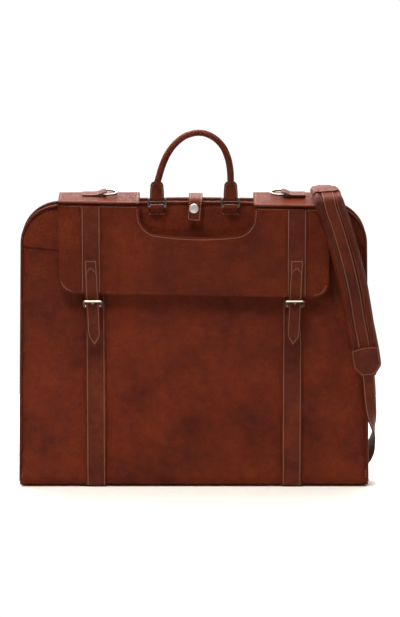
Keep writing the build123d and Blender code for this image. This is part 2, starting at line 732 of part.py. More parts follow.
# ---- inside ----
def make_zip():
    """Zip on the back half's inner wall: tape, teeth, and the slider with its pull."""
    face = inner_y
    top = zip_bottom + zip_length
    tape = block(-zip_tape_width / 2, zip_tape_width / 2, face - zip_tape_thickness, face,
                 zip_bottom - zip_tape_end, top + zip_tape_end)
    gap = block(-zip_teeth_width / 2, zip_teeth_width / 2, face - 2, face + 1, zip_bottom, top)
    save("zip_tape", tape - gap)
    near = face - zip_tape_thickness
    save("zip_teeth", block(-zip_teeth_width / 2, zip_teeth_width / 2, near, near + zip_teeth_thickness,
                            zip_bottom, top))
    slider_far = near - zip_clearance
    slider_near = slider_far - zip_slider_thickness
    head = top - zip_head_gap
    save("zip_slider", block(-zip_slider_width / 2, zip_slider_width / 2, slider_near, slider_far,
                             head - zip_slider_length, head))
    eye = head - zip_pull_drop
    save("zip_pull", block(-zip_pull_width / 2, zip_pull_width / 2, slider_near - zip_pull_thickness,
                           slider_near, eye - zip_pull_length, eye))


def make_hanger_clamp():
    """The clamp that holds garment hangers, on the inside of the back panel."""
    wall = back_y - panel_thickness
    z0 = clamp_top - clamp_height
    base = block(-clamp_width / 2, clamp_width / 2, wall - clamp_thickness, wall, z0, clamp_top)
    pin_z, pin_y = clamp_top - clamp_pin_drop, wall - clamp_thickness - clamp_pin_stand
    ear_x = clamp_lever_width / 2 + 2.0
    ears = [block(s * ear_x - clamp_ear_thickness / 2, s * ear_x + clamp_ear_thickness / 2, pin_y - 3,
                  wall - clamp_thickness, pin_z - 4, pin_z + 4) for s in (-1, 1)]
    pin = Pos(0, pin_y, pin_z) * Rot(0, 90, 0) * Cylinder(clamp_pin_radius, clamp_lever_width + 8)
    hole = Pos(0, pin_y, pin_z) * Rot(0, 90, 0) * Cylinder(clamp_pin_radius, 2 * clamp_width)
    save("hanger_clamp_base", base + (ears[0] - hole) + (ears[1] - hole))
    save("hanger_clamp_pin", pin)
    knuckle = Cylinder(clamp_pin_radius + clamp_knuckle_wall, clamp_lever_width)
    knuckle = Pos(0, pin_y, pin_z) * Rot(0, 90, 0) * knuckle
    bore = Pos(0, pin_y, pin_z) * Rot(0, 90, 0) * Cylinder(clamp_pin_radius + clamp_running_gap, 2 * clamp_width)
    arm = block(-clamp_lever_width / 2, clamp_lever_width / 2, pin_y - clamp_arm_thickness / 2,
                pin_y + clamp_arm_thickness / 2, pin_z - clamp_lever_length, pin_z - 2)
    save("hanger_clamp_lever", (knuckle + arm) - bore)


def make_lining():
    """The strap that holds garments flat, and a flat pocket in the front half."""
    y0 = back_y - panel_thickness - lining_gap
    z0 = garment_strap_height
    save("garment_strap", block(-garment_strap_length / 2, garment_strap_length / 2, y0 - garment_strap_thickness,
                                y0, z0, z0 + garment_strap_width))
    wall = front_y + panel_thickness
    half = pocket_width / 2
    save("inner_pocket", block(-half, half, wall, wall + pocket_thickness, pocket_base,
                               pocket_base + pocket_height))


make_body()
make_flap()
make_closures()
make_handle()
make_hanger_tab()
make_d_rings()
make_shoulder_strap()
make_zip()
make_hanger_clamp()
make_lining()
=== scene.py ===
"""A folded leather garment bag: its leather, thread and metal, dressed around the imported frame."""

import logging
from bisect import bisect_right
from dataclasses import dataclass
from enum import Enum
from math import ceil, cos, exp, hypot, pi, radians, sin, sqrt
from typing import Callable

import bmesh
import bpy
from mathutils import Matrix, Vector, noise


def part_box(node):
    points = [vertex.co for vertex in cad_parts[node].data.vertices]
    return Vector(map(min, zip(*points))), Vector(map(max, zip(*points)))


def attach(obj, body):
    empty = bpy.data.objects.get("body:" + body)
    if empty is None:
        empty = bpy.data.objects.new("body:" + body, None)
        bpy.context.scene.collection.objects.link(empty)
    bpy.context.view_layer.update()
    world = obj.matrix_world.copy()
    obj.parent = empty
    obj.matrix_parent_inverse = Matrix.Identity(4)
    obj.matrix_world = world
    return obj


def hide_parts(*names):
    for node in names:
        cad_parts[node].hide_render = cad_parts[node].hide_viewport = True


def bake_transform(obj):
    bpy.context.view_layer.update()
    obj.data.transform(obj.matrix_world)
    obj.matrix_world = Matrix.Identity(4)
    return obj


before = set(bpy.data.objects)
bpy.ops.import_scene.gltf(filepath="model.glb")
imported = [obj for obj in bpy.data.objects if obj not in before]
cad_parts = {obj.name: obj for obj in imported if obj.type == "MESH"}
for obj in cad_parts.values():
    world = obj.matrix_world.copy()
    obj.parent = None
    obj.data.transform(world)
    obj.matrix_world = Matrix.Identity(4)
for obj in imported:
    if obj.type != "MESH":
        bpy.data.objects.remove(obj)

LOG = logging.getLogger("garment_bag")
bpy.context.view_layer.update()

Flat = tuple[float, float]
Colour = tuple[float, float, float]
Place = Callable[[float, float, float], Vector]
MM = 0.001
SIDES = ((-1.0, "left"), (1.0, "right"))
HALVES = ((-1.0, "front"), (1.0, "back"))
FINE_THREAD = 0.00048      # radius of the thread on straps
FINE_PITCH = 0.0036
SHARP_EDGE = radians(50)   # an edge that turns more than this is not shaded smooth


# ---------------------------------------------------------------- small sums
def ease(value: float, low: float, high: float) -> float:
    """Smooth step from 0 at low to 1 at high."""
    share = min(max((value - low) / (high - low), 0.0), 1.0)
    return share * share * (3.0 - 2.0 * share)


def ripple(x: float, y: float, z: float, size: float, seed: float = 0.0) -> float:
    """Smooth noise, about -1 to 1, whose bumps are size metres across."""
    return noise.noise(Vector((x / size + seed, y / size - seed, z / size + 2.0 * seed)))


def arc(cx: float, cy: float, radius: float, start: float, end: float, count: int = 8) -> list[Flat]:
    """Points of a circular arc.

    Args:
        cx: Centre, first coordinate.
        cy: Centre, second coordinate.
        radius: Radius.
        start: First angle in degrees.
        end: Last angle in degrees.
        count: Number of steps.

    Returns:
        The points, both ends included.
    """
    turn = [radians(start + (end - start) * i / count) for i in range(count + 1)]
    return [(cx + radius * cos(t), cy + radius * sin(t)) for t in turn]


def inset(outline: list[Flat], distance: float, closed: bool = True) -> list[Flat]:
    """A line drawn inside an outline, which runs anticlockwise.

    Args:
        outline: The outline's corners.
        distance: How far inside.
        closed: Whether the last corner joins the first.

    Returns:
        The inner line's corners.
    """
    inner, count = [], len(outline)
    for i, (x, y) in enumerate(outline):
        before = outline[i - 1] if closed or i > 0 else None
        after = outline[(i + 1) % count] if closed or i < count - 1 else None
        first = Vector((x - before[0], y - before[1])) if before else None
        last = Vector((after[0] - x, after[1] - y)) if after else None
        first, last = (first or last).normalized(), (last or first).normalized()
        left = Vector((-first.y - last.y, first.x + last.x))
        left = left.normalized() if left.length > 1e-6 else Vector((-first.y, first.x))
        share = max(left.dot(Vector((-first.y, first.x))), 0.35)
        inner.append((x + left.x * distance / share, y + left.y * distance / share))
    return inner


def oblong(left: float, right: float, low: float, high: float) -> list[Flat]:
    """A plain rectangle, anticlockwise from its lower left corner."""
    return [(left, low), (right, low), (right, high), (left, high)]


def hem_line(outline: list[Flat], distance: float) -> list[Flat]:
    """A closed stitch line inside an outline."""
    line = inset(outline, distance)
    return line + line[:1]


def box_outline(width: float, low: float, high: float,
                radii: tuple[float, float, float, float]) -> list[Flat]:
    """A rectangle with round corners, anticlockwise from its lower left corner.

    Args:
        width: Width, centred on zero.
        low: Lower edge.
        high: Upper edge.
        radii: Corner radii: lower left, lower right, upper right, upper left.

    Returns:
        The outline's corners.
    """
    half, corners = width / 2, []
    places = ((-half, low, 1, 1, 180), (half, low, -1, 1, 270), (half, high, -1, -1, 0),
              (-half, high, 1, -1, 90))
    for (x, y, sx, sy, start), radius in zip(places, radii):
        if radius:
            corners += arc(x + sx * radius, y + sy * radius, radius, start, start + 90, 5)
        else:
            corners.append((x, y))
    return corners


class Route:
    """A smooth line in space with an outward side, which a strip of leather follows."""

    def __init__(self, stations: list[tuple[Vector, Vector]], steps: int = 8) -> None:
        """Rounds the line through its stations.

        Args:
            stations: Points, each with the direction that the outer face looks.
            steps: Points made between each two stations.
        """
        spots = [Vector(p) for p, _ in stations]
        sides = [Vector(n).normalized() for _, n in stations]
        spots = [2 * spots[0] - spots[1], *spots, 2 * spots[-1] - spots[-2]]
        sides = [sides[0], *sides, sides[-1]]
        self.points: list[Vector] = []
        self.normals: list[Vector] = []
        for i in range(1, len(spots) - 2):
            for k in range(steps):
                self.points.append(self.between(spots[i - 1:i + 3], k / steps))
                self.normals.append(self.between(sides[i - 1:i + 3], k / steps))
        self.points.append(spots[-2])
        self.normals.append(sides[-2])
        self.lengths = [0.0]
        for first, last in zip(self.points, self.points[1:]):
            self.lengths.append(self.lengths[-1] + (last - first).length)
        self.marks = [self.lengths[min(i * steps, len(self.lengths) - 1)] for i in range(len(stations))]

    @staticmethod
    def between(four: list[Vector], share: float) -> Vector:
        """A point on the smooth curve between the middle two of four points."""
        a, b, c, d = four
        return 0.5 * (2 * b + (c - a) * share + (2 * a - 5 * b + 4 * c - d) * share**2
                      + (3 * b - a - 3 * c + d) * share**3)

    @property
    def length(self) -> float:
        """The route's whole length."""
        return self.lengths[-1]

    def at(self, along: float) -> tuple[Vector, Vector, Vector]:
        """Where the route is.

        Args:
            along: Distance from the start; past either end the line runs on straight.

        Returns:
            The point, the direction across the strip, and the outward normal.
        """
        i = min(max(bisect_right(self.lengths, along) - 1, 0), len(self.lengths) - 2)
        step = self.lengths[i + 1] - self.lengths[i]
        share = (along - self.lengths[i]) / step
        low, high = max(i - 1, 0), min(i + 2, len(self.points) - 1)
        before = self.points[i + 1] - self.points[low]
        after = self.points[high] - self.points[i]
        held = min(max(share, 0.0), 1.0)
        tangent = before.normalized().lerp(after.normalized(), held).normalized()
        normal = self.normals[i].lerp(self.normals[i + 1], held)
        across = normal.cross(tangent).normalized()
        return self.points[i].lerp(self.points[i + 1], share), across, tangent.cross(across)

    def place(self, a: float, b: float, depth: float) -> Vector:
        """The point at a across, b along and depth outwards."""
        point, across, normal = self.at(b)
        return point + across * a + normal * depth


def bent(profile: list[Flat], x: float = 0.0, steps: int = 6) -> Route:
    """A route that stays at one X and follows a profile in Y and Z, outer face on its left.

    Args:
        profile: Y and Z of each station.
        x: The route's X.
        steps: Points made between each two stations.

    Returns:
        The route.
    """
    stations = []
    for i, (y, z) in enumerate(profile):
        y0, z0 = profile[max(i - 1, 0)]
        y1, z1 = profile[min(i + 1, len(profile) - 1)]
        stations.append((Vector((x, y, z)), Vector((0.0, z1 - z0, y0 - y1))))
    return Route(stations, steps)


# ---------------------------------------------------------------- finishes
class Tree:
    """A short way to add and join shader nodes."""

    def __init__(self, tree: bpy.types.NodeTree) -> None:
        """Holds the node tree.

        Args:
            tree: A material's or a group's node tree.
        """
        self.tree = tree

    def add(self, kind: str, inputs: dict | None = None, **settings: object) -> bpy.types.Node:
        """Adds a node.

        Args:
            kind: The node's type.
            inputs: Input name or number to a value or another node's output.
            settings: The node's own properties.

        Returns:
            The node.
        """
        node = self.tree.nodes.new(kind)
        for key, value in settings.items():
            setattr(node, key, value)
        for key, value in (inputs or {}).items():
            if isinstance(value, bpy.types.NodeSocket):
                self.tree.links.new(value, node.inputs[key])
            else:
                node.inputs[key].default_value = value
        return node

    def feed(self, node: bpy.types.Node, wires: dict[str, bpy.types.NodeSocket]) -> None:
        """Joins outputs to a node's named inputs."""
        for key, socket in wires.items():
            self.tree.links.new(socket, node.inputs[key])

    def group(self, shared: bpy.types.NodeTree, inputs: dict) -> bpy.types.Node:
        """A shared effect, with its own inputs."""
        return self.add("ShaderNodeGroup", inputs, node_tree=shared)

    def maths(self, operation: str, first: object, second: object = 0.0,
              clamp: bool = False) -> bpy.types.NodeSocket:
        """A Math node's output."""
        return self.add("ShaderNodeMath", {0: first, 1: second}, operation=operation,
                        use_clamp=clamp).outputs[0]

    def blend(self, share: object, first: object, second: object) -> bpy.types.NodeSocket:
        """A colour Mix node's output."""
        return self.add("ShaderNodeMix", {0: share, 6: first, 7: second}, data_type="RGBA").outputs[2]

    def span(self, value: object, low: float, high: float, to_low: float = 0.0,
             to_high: float = 1.0) -> bpy.types.NodeSocket:
        """A clamped Map Range node's output."""
        return self.add("ShaderNodeMapRange", {0: value, 1: low, 2: high, 3: to_low, 4: to_high}).outputs[0]


def new_group(name: str, inputs: dict[str, float],
              outputs: tuple[str, ...]) -> tuple[Tree, bpy.types.Node, bpy.types.Node]:
    """An empty shader node group.

    Args:
        name: Its name.
        inputs: Input names and default values, all plain numbers.
        outputs: Output names, all plain numbers.

    Returns:
        The tree helper, the group's input node and its output node.
    """
    group = bpy.data.node_groups.new(name, "ShaderNodeTree")
    group.interface.new_socket("Vector", in_out="INPUT", socket_type="NodeSocketVector")
    for key, value in inputs.items():
        socket = group.interface.new_socket(key, in_out="INPUT", socket_type="NodeSocketFloat")
        socket.default_value = value
    for key in outputs:
        group.interface.new_socket(key, in_out="OUTPUT", socket_type="NodeSocketFloat")
    tree = Tree(group)
    return tree, tree.add("NodeGroupInput"), tree.add("NodeGroupOutput")


def make_grain() -> bpy.types.NodeTree:
    """Pebbled leather grain: rounded cells of uneven size with fine pores.

    Returns:
        The node group, with a Height and a Crease output.
    """
    tree, given, put = new_group("leather_grain", {"Cells": 700.0}, ("Height", "Crease"))
    warp = tree.add("ShaderNodeTexNoise", {"Vector": given.outputs["Vector"], "Scale": 160.0, "Detail": 2.0})
    shift = tree.add("ShaderNodeVectorMath", {0: warp.outputs["Color"], 1: (0.5, 0.5, 0.5)},
                     operation="SUBTRACT")
    small = tree.add("ShaderNodeVectorMath", {0: shift.outputs[0], "Scale": 0.0022}, operation="SCALE")
    moved = tree.add("ShaderNodeVectorMath", {0: given.outputs["Vector"], 1: small.outputs[0]},
                     operation="ADD")
    cells = tree.add("ShaderNodeTexVoronoi", {"Vector": moved.outputs[0], "Scale": given.outputs["Cells"]},
                     feature="DISTANCE_TO_EDGE")
    big = tree.add("ShaderNodeTexVoronoi", {"Vector": moved.outputs[0],
                   "Scale": tree.maths("MULTIPLY", given.outputs["Cells"], 0.37)}, feature="DISTANCE_TO_EDGE")
    pores = tree.add("ShaderNodeTexNoise",
                     {"Vector": given.outputs["Vector"], "Scale": 2600.0, "Detail": 1.0})
    pebble = tree.span(cells.outputs[0], 0.0, 0.28)
    fold = tree.span(big.outputs[0], 0.0, 0.12)
    height = tree.maths("ADD", tree.maths("MULTIPLY", pebble, 0.6), tree.maths("MULTIPLY", fold, 0.4))
    height = tree.maths("ADD", height, tree.maths("MULTIPLY", pores.outputs["Fac"], 0.18))
    # Crease marks the grooves between pebbles: the leather makes them rougher and paints shade into them.
    crease = tree.maths("MULTIPLY", tree.span(cells.outputs[0], 0.14, 0.0),
                        tree.span(big.outputs[0], 0.3, 0.0, 0.35, 1.0))
    tree.feed(put, {"Height": height, "Crease": crease})
    return tree.tree


def make_mottle() -> bpy.types.NodeTree:
    """Uneven dye and handling: broad clouds, small blotches and scuffs.

    Returns:
        The node group, with Cloud, Blotch and Scuff outputs.
    """
    tree, given, put = new_group("dye_and_wear", {"Seed": 0.0}, ("Cloud", "Blotch", "Scuff"))
    moved = tree.add("ShaderNodeVectorMath", {0: given.outputs["Vector"], 1: given.outputs["Seed"]},
                     operation="ADD").outputs[0]
    cloud = tree.add("ShaderNodeTexNoise", {"Vector": moved, "Scale": 13.0, "Detail": 4.0, "Roughness": 0.55})
    blotch = tree.add("ShaderNodeTexNoise",
                      {"Vector": moved, "Scale": 70.0, "Detail": 5.0, "Roughness": 0.62})
    turned = tree.add("ShaderNodeMapping", {"Vector": moved, "Rotation": (0.2, 0.5, 0.3),
                                            "Scale": (1.0, 1.0, 7.0)})
    lines = tree.add("ShaderNodeTexNoise", {"Vector": turned.outputs[0], "Scale": 55.0, "Detail": 6.0,
                                            "Roughness": 0.7})
    patch = tree.add("ShaderNodeTexNoise", {"Vector": moved, "Scale": 24.0, "Detail": 2.0})
    scuff = tree.maths("MULTIPLY", tree.span(lines.outputs["Fac"], 0.58, 0.72),
                       tree.span(patch.outputs["Fac"], 0.48, 0.64))
    tree.feed(put, {"Cloud": tree.span(cloud.outputs["Fac"], 0.32, 0.68),
                    "Blotch": tree.span(blotch.outputs["Fac"], 0.34, 0.66), "Scuff": scuff})
    return tree.tree


def make_weave() -> bpy.types.NodeTree:
    """A plain weave of fine threads.

    Returns:
        The node group, with a Height output.
    """
    tree, given, put = new_group("plain_weave", {"Threads": 900.0}, ("Height",))
    parts = tree.add("ShaderNodeSeparateXYZ", {0: given.outputs["Vector"]})
    turns = tree.maths("MULTIPLY", given.outputs["Threads"], 3.1416)
    level = tree.maths("ADD", parts.outputs["X"], parts.outputs["Y"])
    along = tree.maths("SINE", tree.maths("MULTIPLY", level, turns))
    across = tree.maths("SINE", tree.maths("MULTIPLY", parts.outputs["Z"], turns))
    height = tree.maths("ADD", tree.maths("MULTIPLY", tree.maths("MULTIPLY", along, across), 0.5), 0.5)
    tree.feed(put, {"Height": height})
    return tree.tree


class Effects:
    """The shader groups that several finishes share."""

    def __init__(self) -> None:
        """Builds each group once."""
        self.grain = make_grain()
        self.mottle = make_mottle()
        self.weave = make_weave()


def opaque(colour: Colour) -> tuple[float, float, float, float]:
    """A colour with full alpha."""
    return (*colour, 1.0)


def start_material(name: str, colour: Colour) -> tuple[bpy.types.Material, Tree, bpy.types.Node,
                                                      bpy.types.NodeSocket]:
    """A new material with a plain Principled shader.

    Args:
        name: The material's name.
        colour: Its plain colour in the viewport.

    Returns:
        The material, its tree helper, the shader node and the Object coordinates.
    """
    material = bpy.data.materials.new(name)
    material.use_nodes = True
    material.diffuse_color = opaque(colour)
    tree = Tree(material.node_tree)
    shader = material.node_tree.nodes["Principled BSDF"]
    place = tree.add("ShaderNodeTexCoord").outputs["Object"]
    return material, tree, shader, place


@dataclass(frozen=True)
class Leather:
    """Vegetable-tanned leather, dyed, grained and handled."""

    name: str
    middle: Colour
    dark: Colour
    pale: Colour
    cells: float = 430.0
    relief: float = 0.7
    gloss: float = 0.47
    seed: float = 0.0
    # crease: how far painted shade darkens the grain's creases.
    crease: float = 0.5

    def make(self, effects: Effects) -> bpy.types.Material:
        """Builds the material.

        Args:
            effects: The shared shader groups.

        Returns:
            The material.
        """
        material, tree, shader, place = start_material(self.name, self.middle)
        grain = tree.group(effects.grain, {"Vector": place, "Cells": self.cells})
        wear = tree.group(effects.mottle, {"Vector": place, "Seed": self.seed})
        colour = tree.blend(wear.outputs["Cloud"], opaque(self.dark), opaque(self.middle))
        colour = tree.blend(tree.maths("MULTIPLY", wear.outputs["Blotch"], 0.35), colour, opaque(self.middle))
        pale = tree.maths("MULTIPLY", wear.outputs["Blotch"],
                          tree.maths("MULTIPLY", wear.outputs["Cloud"], 0.55))
        colour = tree.blend(pale, colour, opaque(self.pale))
        colour = tree.blend(tree.maths("MULTIPLY", wear.outputs["Scuff"], 0.45), colour, opaque(self.pale))
        # The grain's creases are darkened towards the dark colour: painted shade in the grooves between
        # pebbles.
        colour = tree.blend(tree.maths("MULTIPLY", grain.outputs["Crease"], self.crease), colour,
                            opaque(self.dark))
        rough = tree.maths("ADD", tree.maths("MULTIPLY", wear.outputs["Blotch"], 0.10), self.gloss - 0.05)
        rough = tree.maths("ADD", rough, tree.maths("MULTIPLY", wear.outputs["Scuff"], 0.14))
        rough = tree.maths("ADD", rough, tree.maths("MULTIPLY", grain.outputs["Crease"], 0.12), clamp=True)
        soft = tree.add("ShaderNodeTexNoise", {"Vector": place, "Scale": 42.0, "Detail": 3.0})
        swell = tree.add("ShaderNodeBump",
                         {"Height": soft.outputs["Fac"], "Strength": 0.25, "Distance": 0.002})
        bump = tree.add("ShaderNodeBump", {"Height": grain.outputs["Height"], "Strength": self.relief,
                                           "Distance": 0.0016, "Normal": swell.outputs[0]})
        tree.feed(shader, {"Base Color": colour, "Roughness": rough, "Normal": bump.outputs[0],
                           "Coat Normal": bump.outputs[0]})
        shader.inputs["Specular IOR Level"].default_value = 0.12
        shader.inputs["Coat Weight"].default_value = 0.045
        shader.inputs["Coat Roughness"].default_value = 0.2
        return material


@dataclass(frozen=True)
class Metal:
    """Plated or solid metal with tarnish, fine scratches and worn spots."""

    name: str
    bright: Colour
    dull: Colour
    gloss: float = 0.25
    tarnish: float = 0.5

    def make(self, effects: Effects) -> bpy.types.Material:
        """Builds the material.

        Args:
            effects: The shared shader groups.

        Returns:
            The material.
        """
        material, tree, shader, place = start_material(self.name, self.bright)
        big = tree.add("ShaderNodeVectorMath", {0: place, "Scale": 6.0}, operation="SCALE")
        wear = tree.group(effects.mottle, {"Vector": big.outputs[0]})
        dirt = tree.maths("MULTIPLY", wear.outputs["Blotch"], self.tarnish)
        colour = tree.blend(dirt, opaque(self.bright), opaque(self.dull))
        rough = tree.maths("ADD", tree.maths("MULTIPLY", wear.outputs["Cloud"], 0.16), self.gloss, clamp=True)
        brushed = tree.add("ShaderNodeMapping", {"Vector": place, "Scale": (900.0, 120.0, 500.0)})
        lines = tree.add("ShaderNodeTexNoise", {"Vector": brushed.outputs[0], "Scale": 1.0, "Detail": 2.0})
        bump = tree.add("ShaderNodeBump",
                        {"Height": lines.outputs["Fac"], "Strength": 0.12, "Distance": 0.0001})
        tree.feed(shader, {"Base Color": colour, "Roughness": rough, "Normal": bump.outputs[0]})
        shader.inputs["Metallic"].default_value = 1.0
        return material


@dataclass(frozen=True)
class Cloth:
    """Woven lining, webbing or thread."""

    name: str
    colour: Colour
    shade: Colour
    threads: float = 900.0
    relief: float = 0.5

    def make(self, effects: Effects) -> bpy.types.Material:
        """Builds the material.

        Args:
            effects: The shared shader groups.

        Returns:
            The material.
        """
        material, tree, shader, place = start_material(self.name, self.colour)
        weave = tree.group(effects.weave, {"Vector": place, "Threads": self.threads})
        wear = tree.group(effects.mottle, {"Vector": place})
        colour = tree.blend(weave.outputs["Height"], opaque(self.shade), opaque(self.colour))
        colour = tree.blend(tree.maths("MULTIPLY", wear.outputs["Blotch"], 0.3), colour, opaque(self.shade))
        bump = tree.add("ShaderNodeBump", {"Height": weave.outputs["Height"], "Strength": self.relief,
                                           "Distance": 0.0003})
        rough = tree.span(wear.outputs["Cloud"], 0.0, 1.0, 0.72, 0.9)
        tree.feed(shader, {"Base Color": colour, "Roughness": rough, "Normal": bump.outputs[0]})
        shader.inputs["Sheen Weight"].default_value = 0.25
        return material


class Finish(Enum):
    """Every finish on the bag."""

    HIDE = Leather("saddle_hide", (0.150, 0.0165, 0.0016), (0.066, 0.0058, 0.0006), (0.235, 0.036, 0.0060))
    FLAP = Leather("flap_hide", (0.172, 0.0195, 0.0020), (0.092, 0.0088, 0.0010), (0.265, 0.043, 0.0080),
                   cells=390.0, relief=1.25, seed=3.7)
    STRAP = Leather("strap_hide", (0.128, 0.0175, 0.0034), (0.064, 0.0066, 0.0012), (0.205, 0.039, 0.0120),
                    cells=560.0, gloss=0.42, seed=7.1)
    PAD = Leather("pad_hide", (0.122, 0.0150, 0.0028), (0.052, 0.0048, 0.0009), (0.200, 0.035, 0.0100),
                  cells=560.0, gloss=0.40, seed=11.9)
    EDGE = Leather("burnished_edge", (0.046, 0.0082, 0.0040), (0.022, 0.0042, 0.0022), (0.10, 0.022, 0.011),
                   cells=1500.0, relief=0.2, gloss=0.5, seed=5.3)
    # Painted shadow: near-black leather for the dark disks and the sheet that stand in for the shade inside
    # the strap holes and the ring slit.
    HOLE_SHADOW = Leather("painted_hole_shadow", (0.028, 0.012, 0.009), (0.014, 0.006, 0.0045), (0.06, 0.026, 0.018),
                    cells=1300.0, relief=0.5, gloss=0.68, seed=9.4)
    LINING = Cloth("lining_cloth", (0.075, 0.055, 0.045), (0.032, 0.023, 0.019))
    WEBBING = Cloth("webbing", (0.06, 0.035, 0.026), (0.022, 0.012, 0.009), threads=420.0, relief=0.9)
    THREAD = Cloth("waxed_thread", (0.84, 0.52, 0.34), (0.55, 0.30, 0.18), threads=2200.0)
    CORE = Cloth("cord_core", (0.40, 0.33, 0.24), (0.2, 0.16, 0.11), threads=1100.0)
    NICKEL = Metal("aged_nickel", (0.44, 0.40, 0.35), (0.13, 0.10, 0.075), gloss=0.24, tarnish=0.75)
    SNAP = Metal("bright_snap", (0.95, 0.95, 0.94), (0.80, 0.79, 0.77), gloss=0.42, tarnish=0.3)
    BRASS = Metal("zip_brass", (0.66, 0.47, 0.20), (0.28, 0.18, 0.08), gloss=0.3)

    @property
    def slot(self) -> str:
        """The record's material slot of leather and cloth pieces in this finish."""
        if self in (Finish.HIDE, Finish.FLAP, Finish.PAD):
            return "leather"
        return "lining" if self in (Finish.LINING, Finish.WEBBING) else "leather_strap"


class Wardrobe:
    """The made materials, one for each finish."""

    def __init__(self) -> None:
        """Makes every material once."""
        effects = Effects()
        self.made = {finish: finish.value.make(effects) for finish in Finish}

    def __getitem__(self, finish: Finish) -> bpy.types.Material:
        """The material of a finish."""
        return self.made[finish]


# ---------------------------------------------------------------- making pieces
class Bench:
    """The workbench: cuts leather, rolls tubes, sews, and turns each piece into a dressed object."""

    def __init__(self) -> None:
        """Sets out the finishes."""
        self.wardrobe = Wardrobe()

    def hand_over(self, made: bmesh.types.BMesh, name: str, finishes: tuple[Finish, ...],
                  slot: str) -> bpy.types.Object:
        """Turns a worked mesh into a dressed object.

        Args:
            made: The mesh, which is used up.
            name: The piece's name.
            finishes: Its finishes, by material index.
            slot: The record's material slot; not used.

        Returns:
            The object, at the origin.
        """
        for face in made.faces:
            face.smooth = True
        for edge in made.edges:
            if len(edge.link_faces) == 2 and edge.calc_face_angle(0.0) > SHARP_EDGE:
                edge.smooth = False
        mesh = bpy.data.meshes.new(name)
        made.to_mesh(mesh)
        made.free()
        for finish in finishes:
            mesh.materials.append(self.wardrobe[finish])
        piece = bpy.data.objects.new(name, mesh)
        bpy.context.scene.collection.objects.link(piece)
        LOG.info("%s: %d faces", name, len(mesh.polygons))
        return piece

    @staticmethod
    def cut(outline: list[Flat], thickness: float, steps: Flat, rounding: float) -> bmesh.types.BMesh:
        """Cuts a flat piece of leather and rounds its edges.

        Args:
            outline: Its corners, anticlockwise.
            thickness: Its thickness.
            steps: Spacing of the cuts across it, first and second way; 0 for none.
            rounding: Radius of its edges.

        Returns:
            The flat piece, its inner face at depth 0; its edge has material index 1.
        """
        made = bmesh.new()
        made.faces.new([made.verts.new((a, b, 0.0)) for a, b in outline])
        for axis in (0, 1):
            if not steps[axis]:
                continue
            low = min(point[axis] for point in outline)
            high = max(point[axis] for point in outline)
            count = max(int(round((high - low) / steps[axis])), 1)
            normal = Vector((1.0 - axis, axis, 0.0))
            for k in range(1, count):
                geometry = made.verts[:] + made.edges[:] + made.faces[:]
                spot = normal * (low + (high - low) * k / count)
                bmesh.ops.bisect_plane(made, geom=geometry, dist=1e-6, plane_co=spot, plane_no=normal)
        raised = bmesh.ops.extrude_face_region(made, geom=made.faces[:])["geom"]
        corners = [v for v in raised if isinstance(v, bmesh.types.BMVert)]
        bmesh.ops.translate(made, verts=corners, vec=(0, 0, thickness))
        bmesh.ops.recalc_face_normals(made, faces=made.faces[:])
        rim = [e for e in made.edges if len(e.link_faces) == 2
               and abs(e.link_faces[0].normal.z - e.link_faces[1].normal.z) > 0.5]
        bmesh.ops.bevel(made, geom=rim, offset=min(rounding, thickness * 0.45), segments=2, profile=0.5,
                        affect="EDGES", material=-1, clamp_overlap=True)
        made.normal_update()
        for face in made.faces:
            face.material_index = 1 if abs(face.normal.z) < 0.6 else 0
        return made

    def leather(self, name: str, outline: list[Flat], thickness: float, steps: Flat, place: Place,
                finish: Finish, rounding: float = 0.0007) -> bpy.types.Object:
        """Cuts a piece and lays it where place says.

        Args:
            name: The piece's name.
            outline: Its flat outline, anticlockwise.
            thickness: Its thickness.
            steps: Spacing of its cuts.
            place: From flat position and depth to space.
            finish: The face's finish; the edge is burnished.
            rounding: Radius of its edges.

        Returns:
            The object.
        """
        made = self.cut(outline, thickness, steps, rounding)
        for vertex in made.verts:
            vertex.co = place(*vertex.co)
        bmesh.ops.recalc_face_normals(made, faces=made.faces[:])
        return self.hand_over(made, name, (finish, Finish.EDGE), finish.slot)

    def rolled(self, name: str, columns: int, rows: int, place: Callable[[float, float], Vector],
               finish: Finish, slot: str, capped: bool = True) -> bpy.types.Object:
        """A round or oval piece: a grid rolled shut along its second way.

        Args:
            name: The piece's name.
            columns: Steps along it.
            rows: Steps round it.
            place: From share along and share round to space.
            finish: Its finish.
            slot: The record's material slot; passed on but not used.
            capped: Whether its ends are closed.

        Returns:
            The object.
        """
        made = bmesh.new()
        bmesh.ops.create_grid(made, x_segments=columns, y_segments=rows, size=0.5)
        for vertex in made.verts:
            vertex.co = place(vertex.co.x + 0.5, vertex.co.y + 0.5)
        bmesh.ops.remove_doubles(made, verts=made.verts[:], dist=2e-6)
        if capped:
            bmesh.ops.holes_fill(made, edges=[e for e in made.edges if e.is_boundary], sides=0)
        bmesh.ops.recalc_face_normals(made, faces=made.faces[:])
        return self.hand_over(made, name, (finish,), slot)

    def tube(self, name: str, spots: list[Vector], radius: float, finish: Finish, slot: str,
             rows: int = 10) -> bpy.types.Object:
        """A round cord through a list of close points.

        Args:
            name: The piece's name.
            spots: The points.
            radius: Its radius.
            finish: Its finish.
            slot: The record's material slot; passed on but not used.
            rows: Steps round it.

        Returns:
            The object.
        """
        count = len(spots) - 1
        ways = [(spots[min(i + 1, count)] - spots[max(i - 1, 0)]).normalized() for i in range(count + 1)]

        def place(share: float, turn: float) -> Vector:
            """A point on the cord's skin."""
            i = int(round(share * count))
            side = ways[i].cross(Vector((0.0, 1.0, 0.0)))
            side = side.normalized() if side.length > 0.2 else Vector((0.0, 0.0, 1.0))
            other = ways[i].cross(side)
            return spots[i] + (side * cos(2 * pi * turn) + other * sin(2 * pi * turn)) * radius

        return self.rolled(name, count, rows, place, finish, slot)

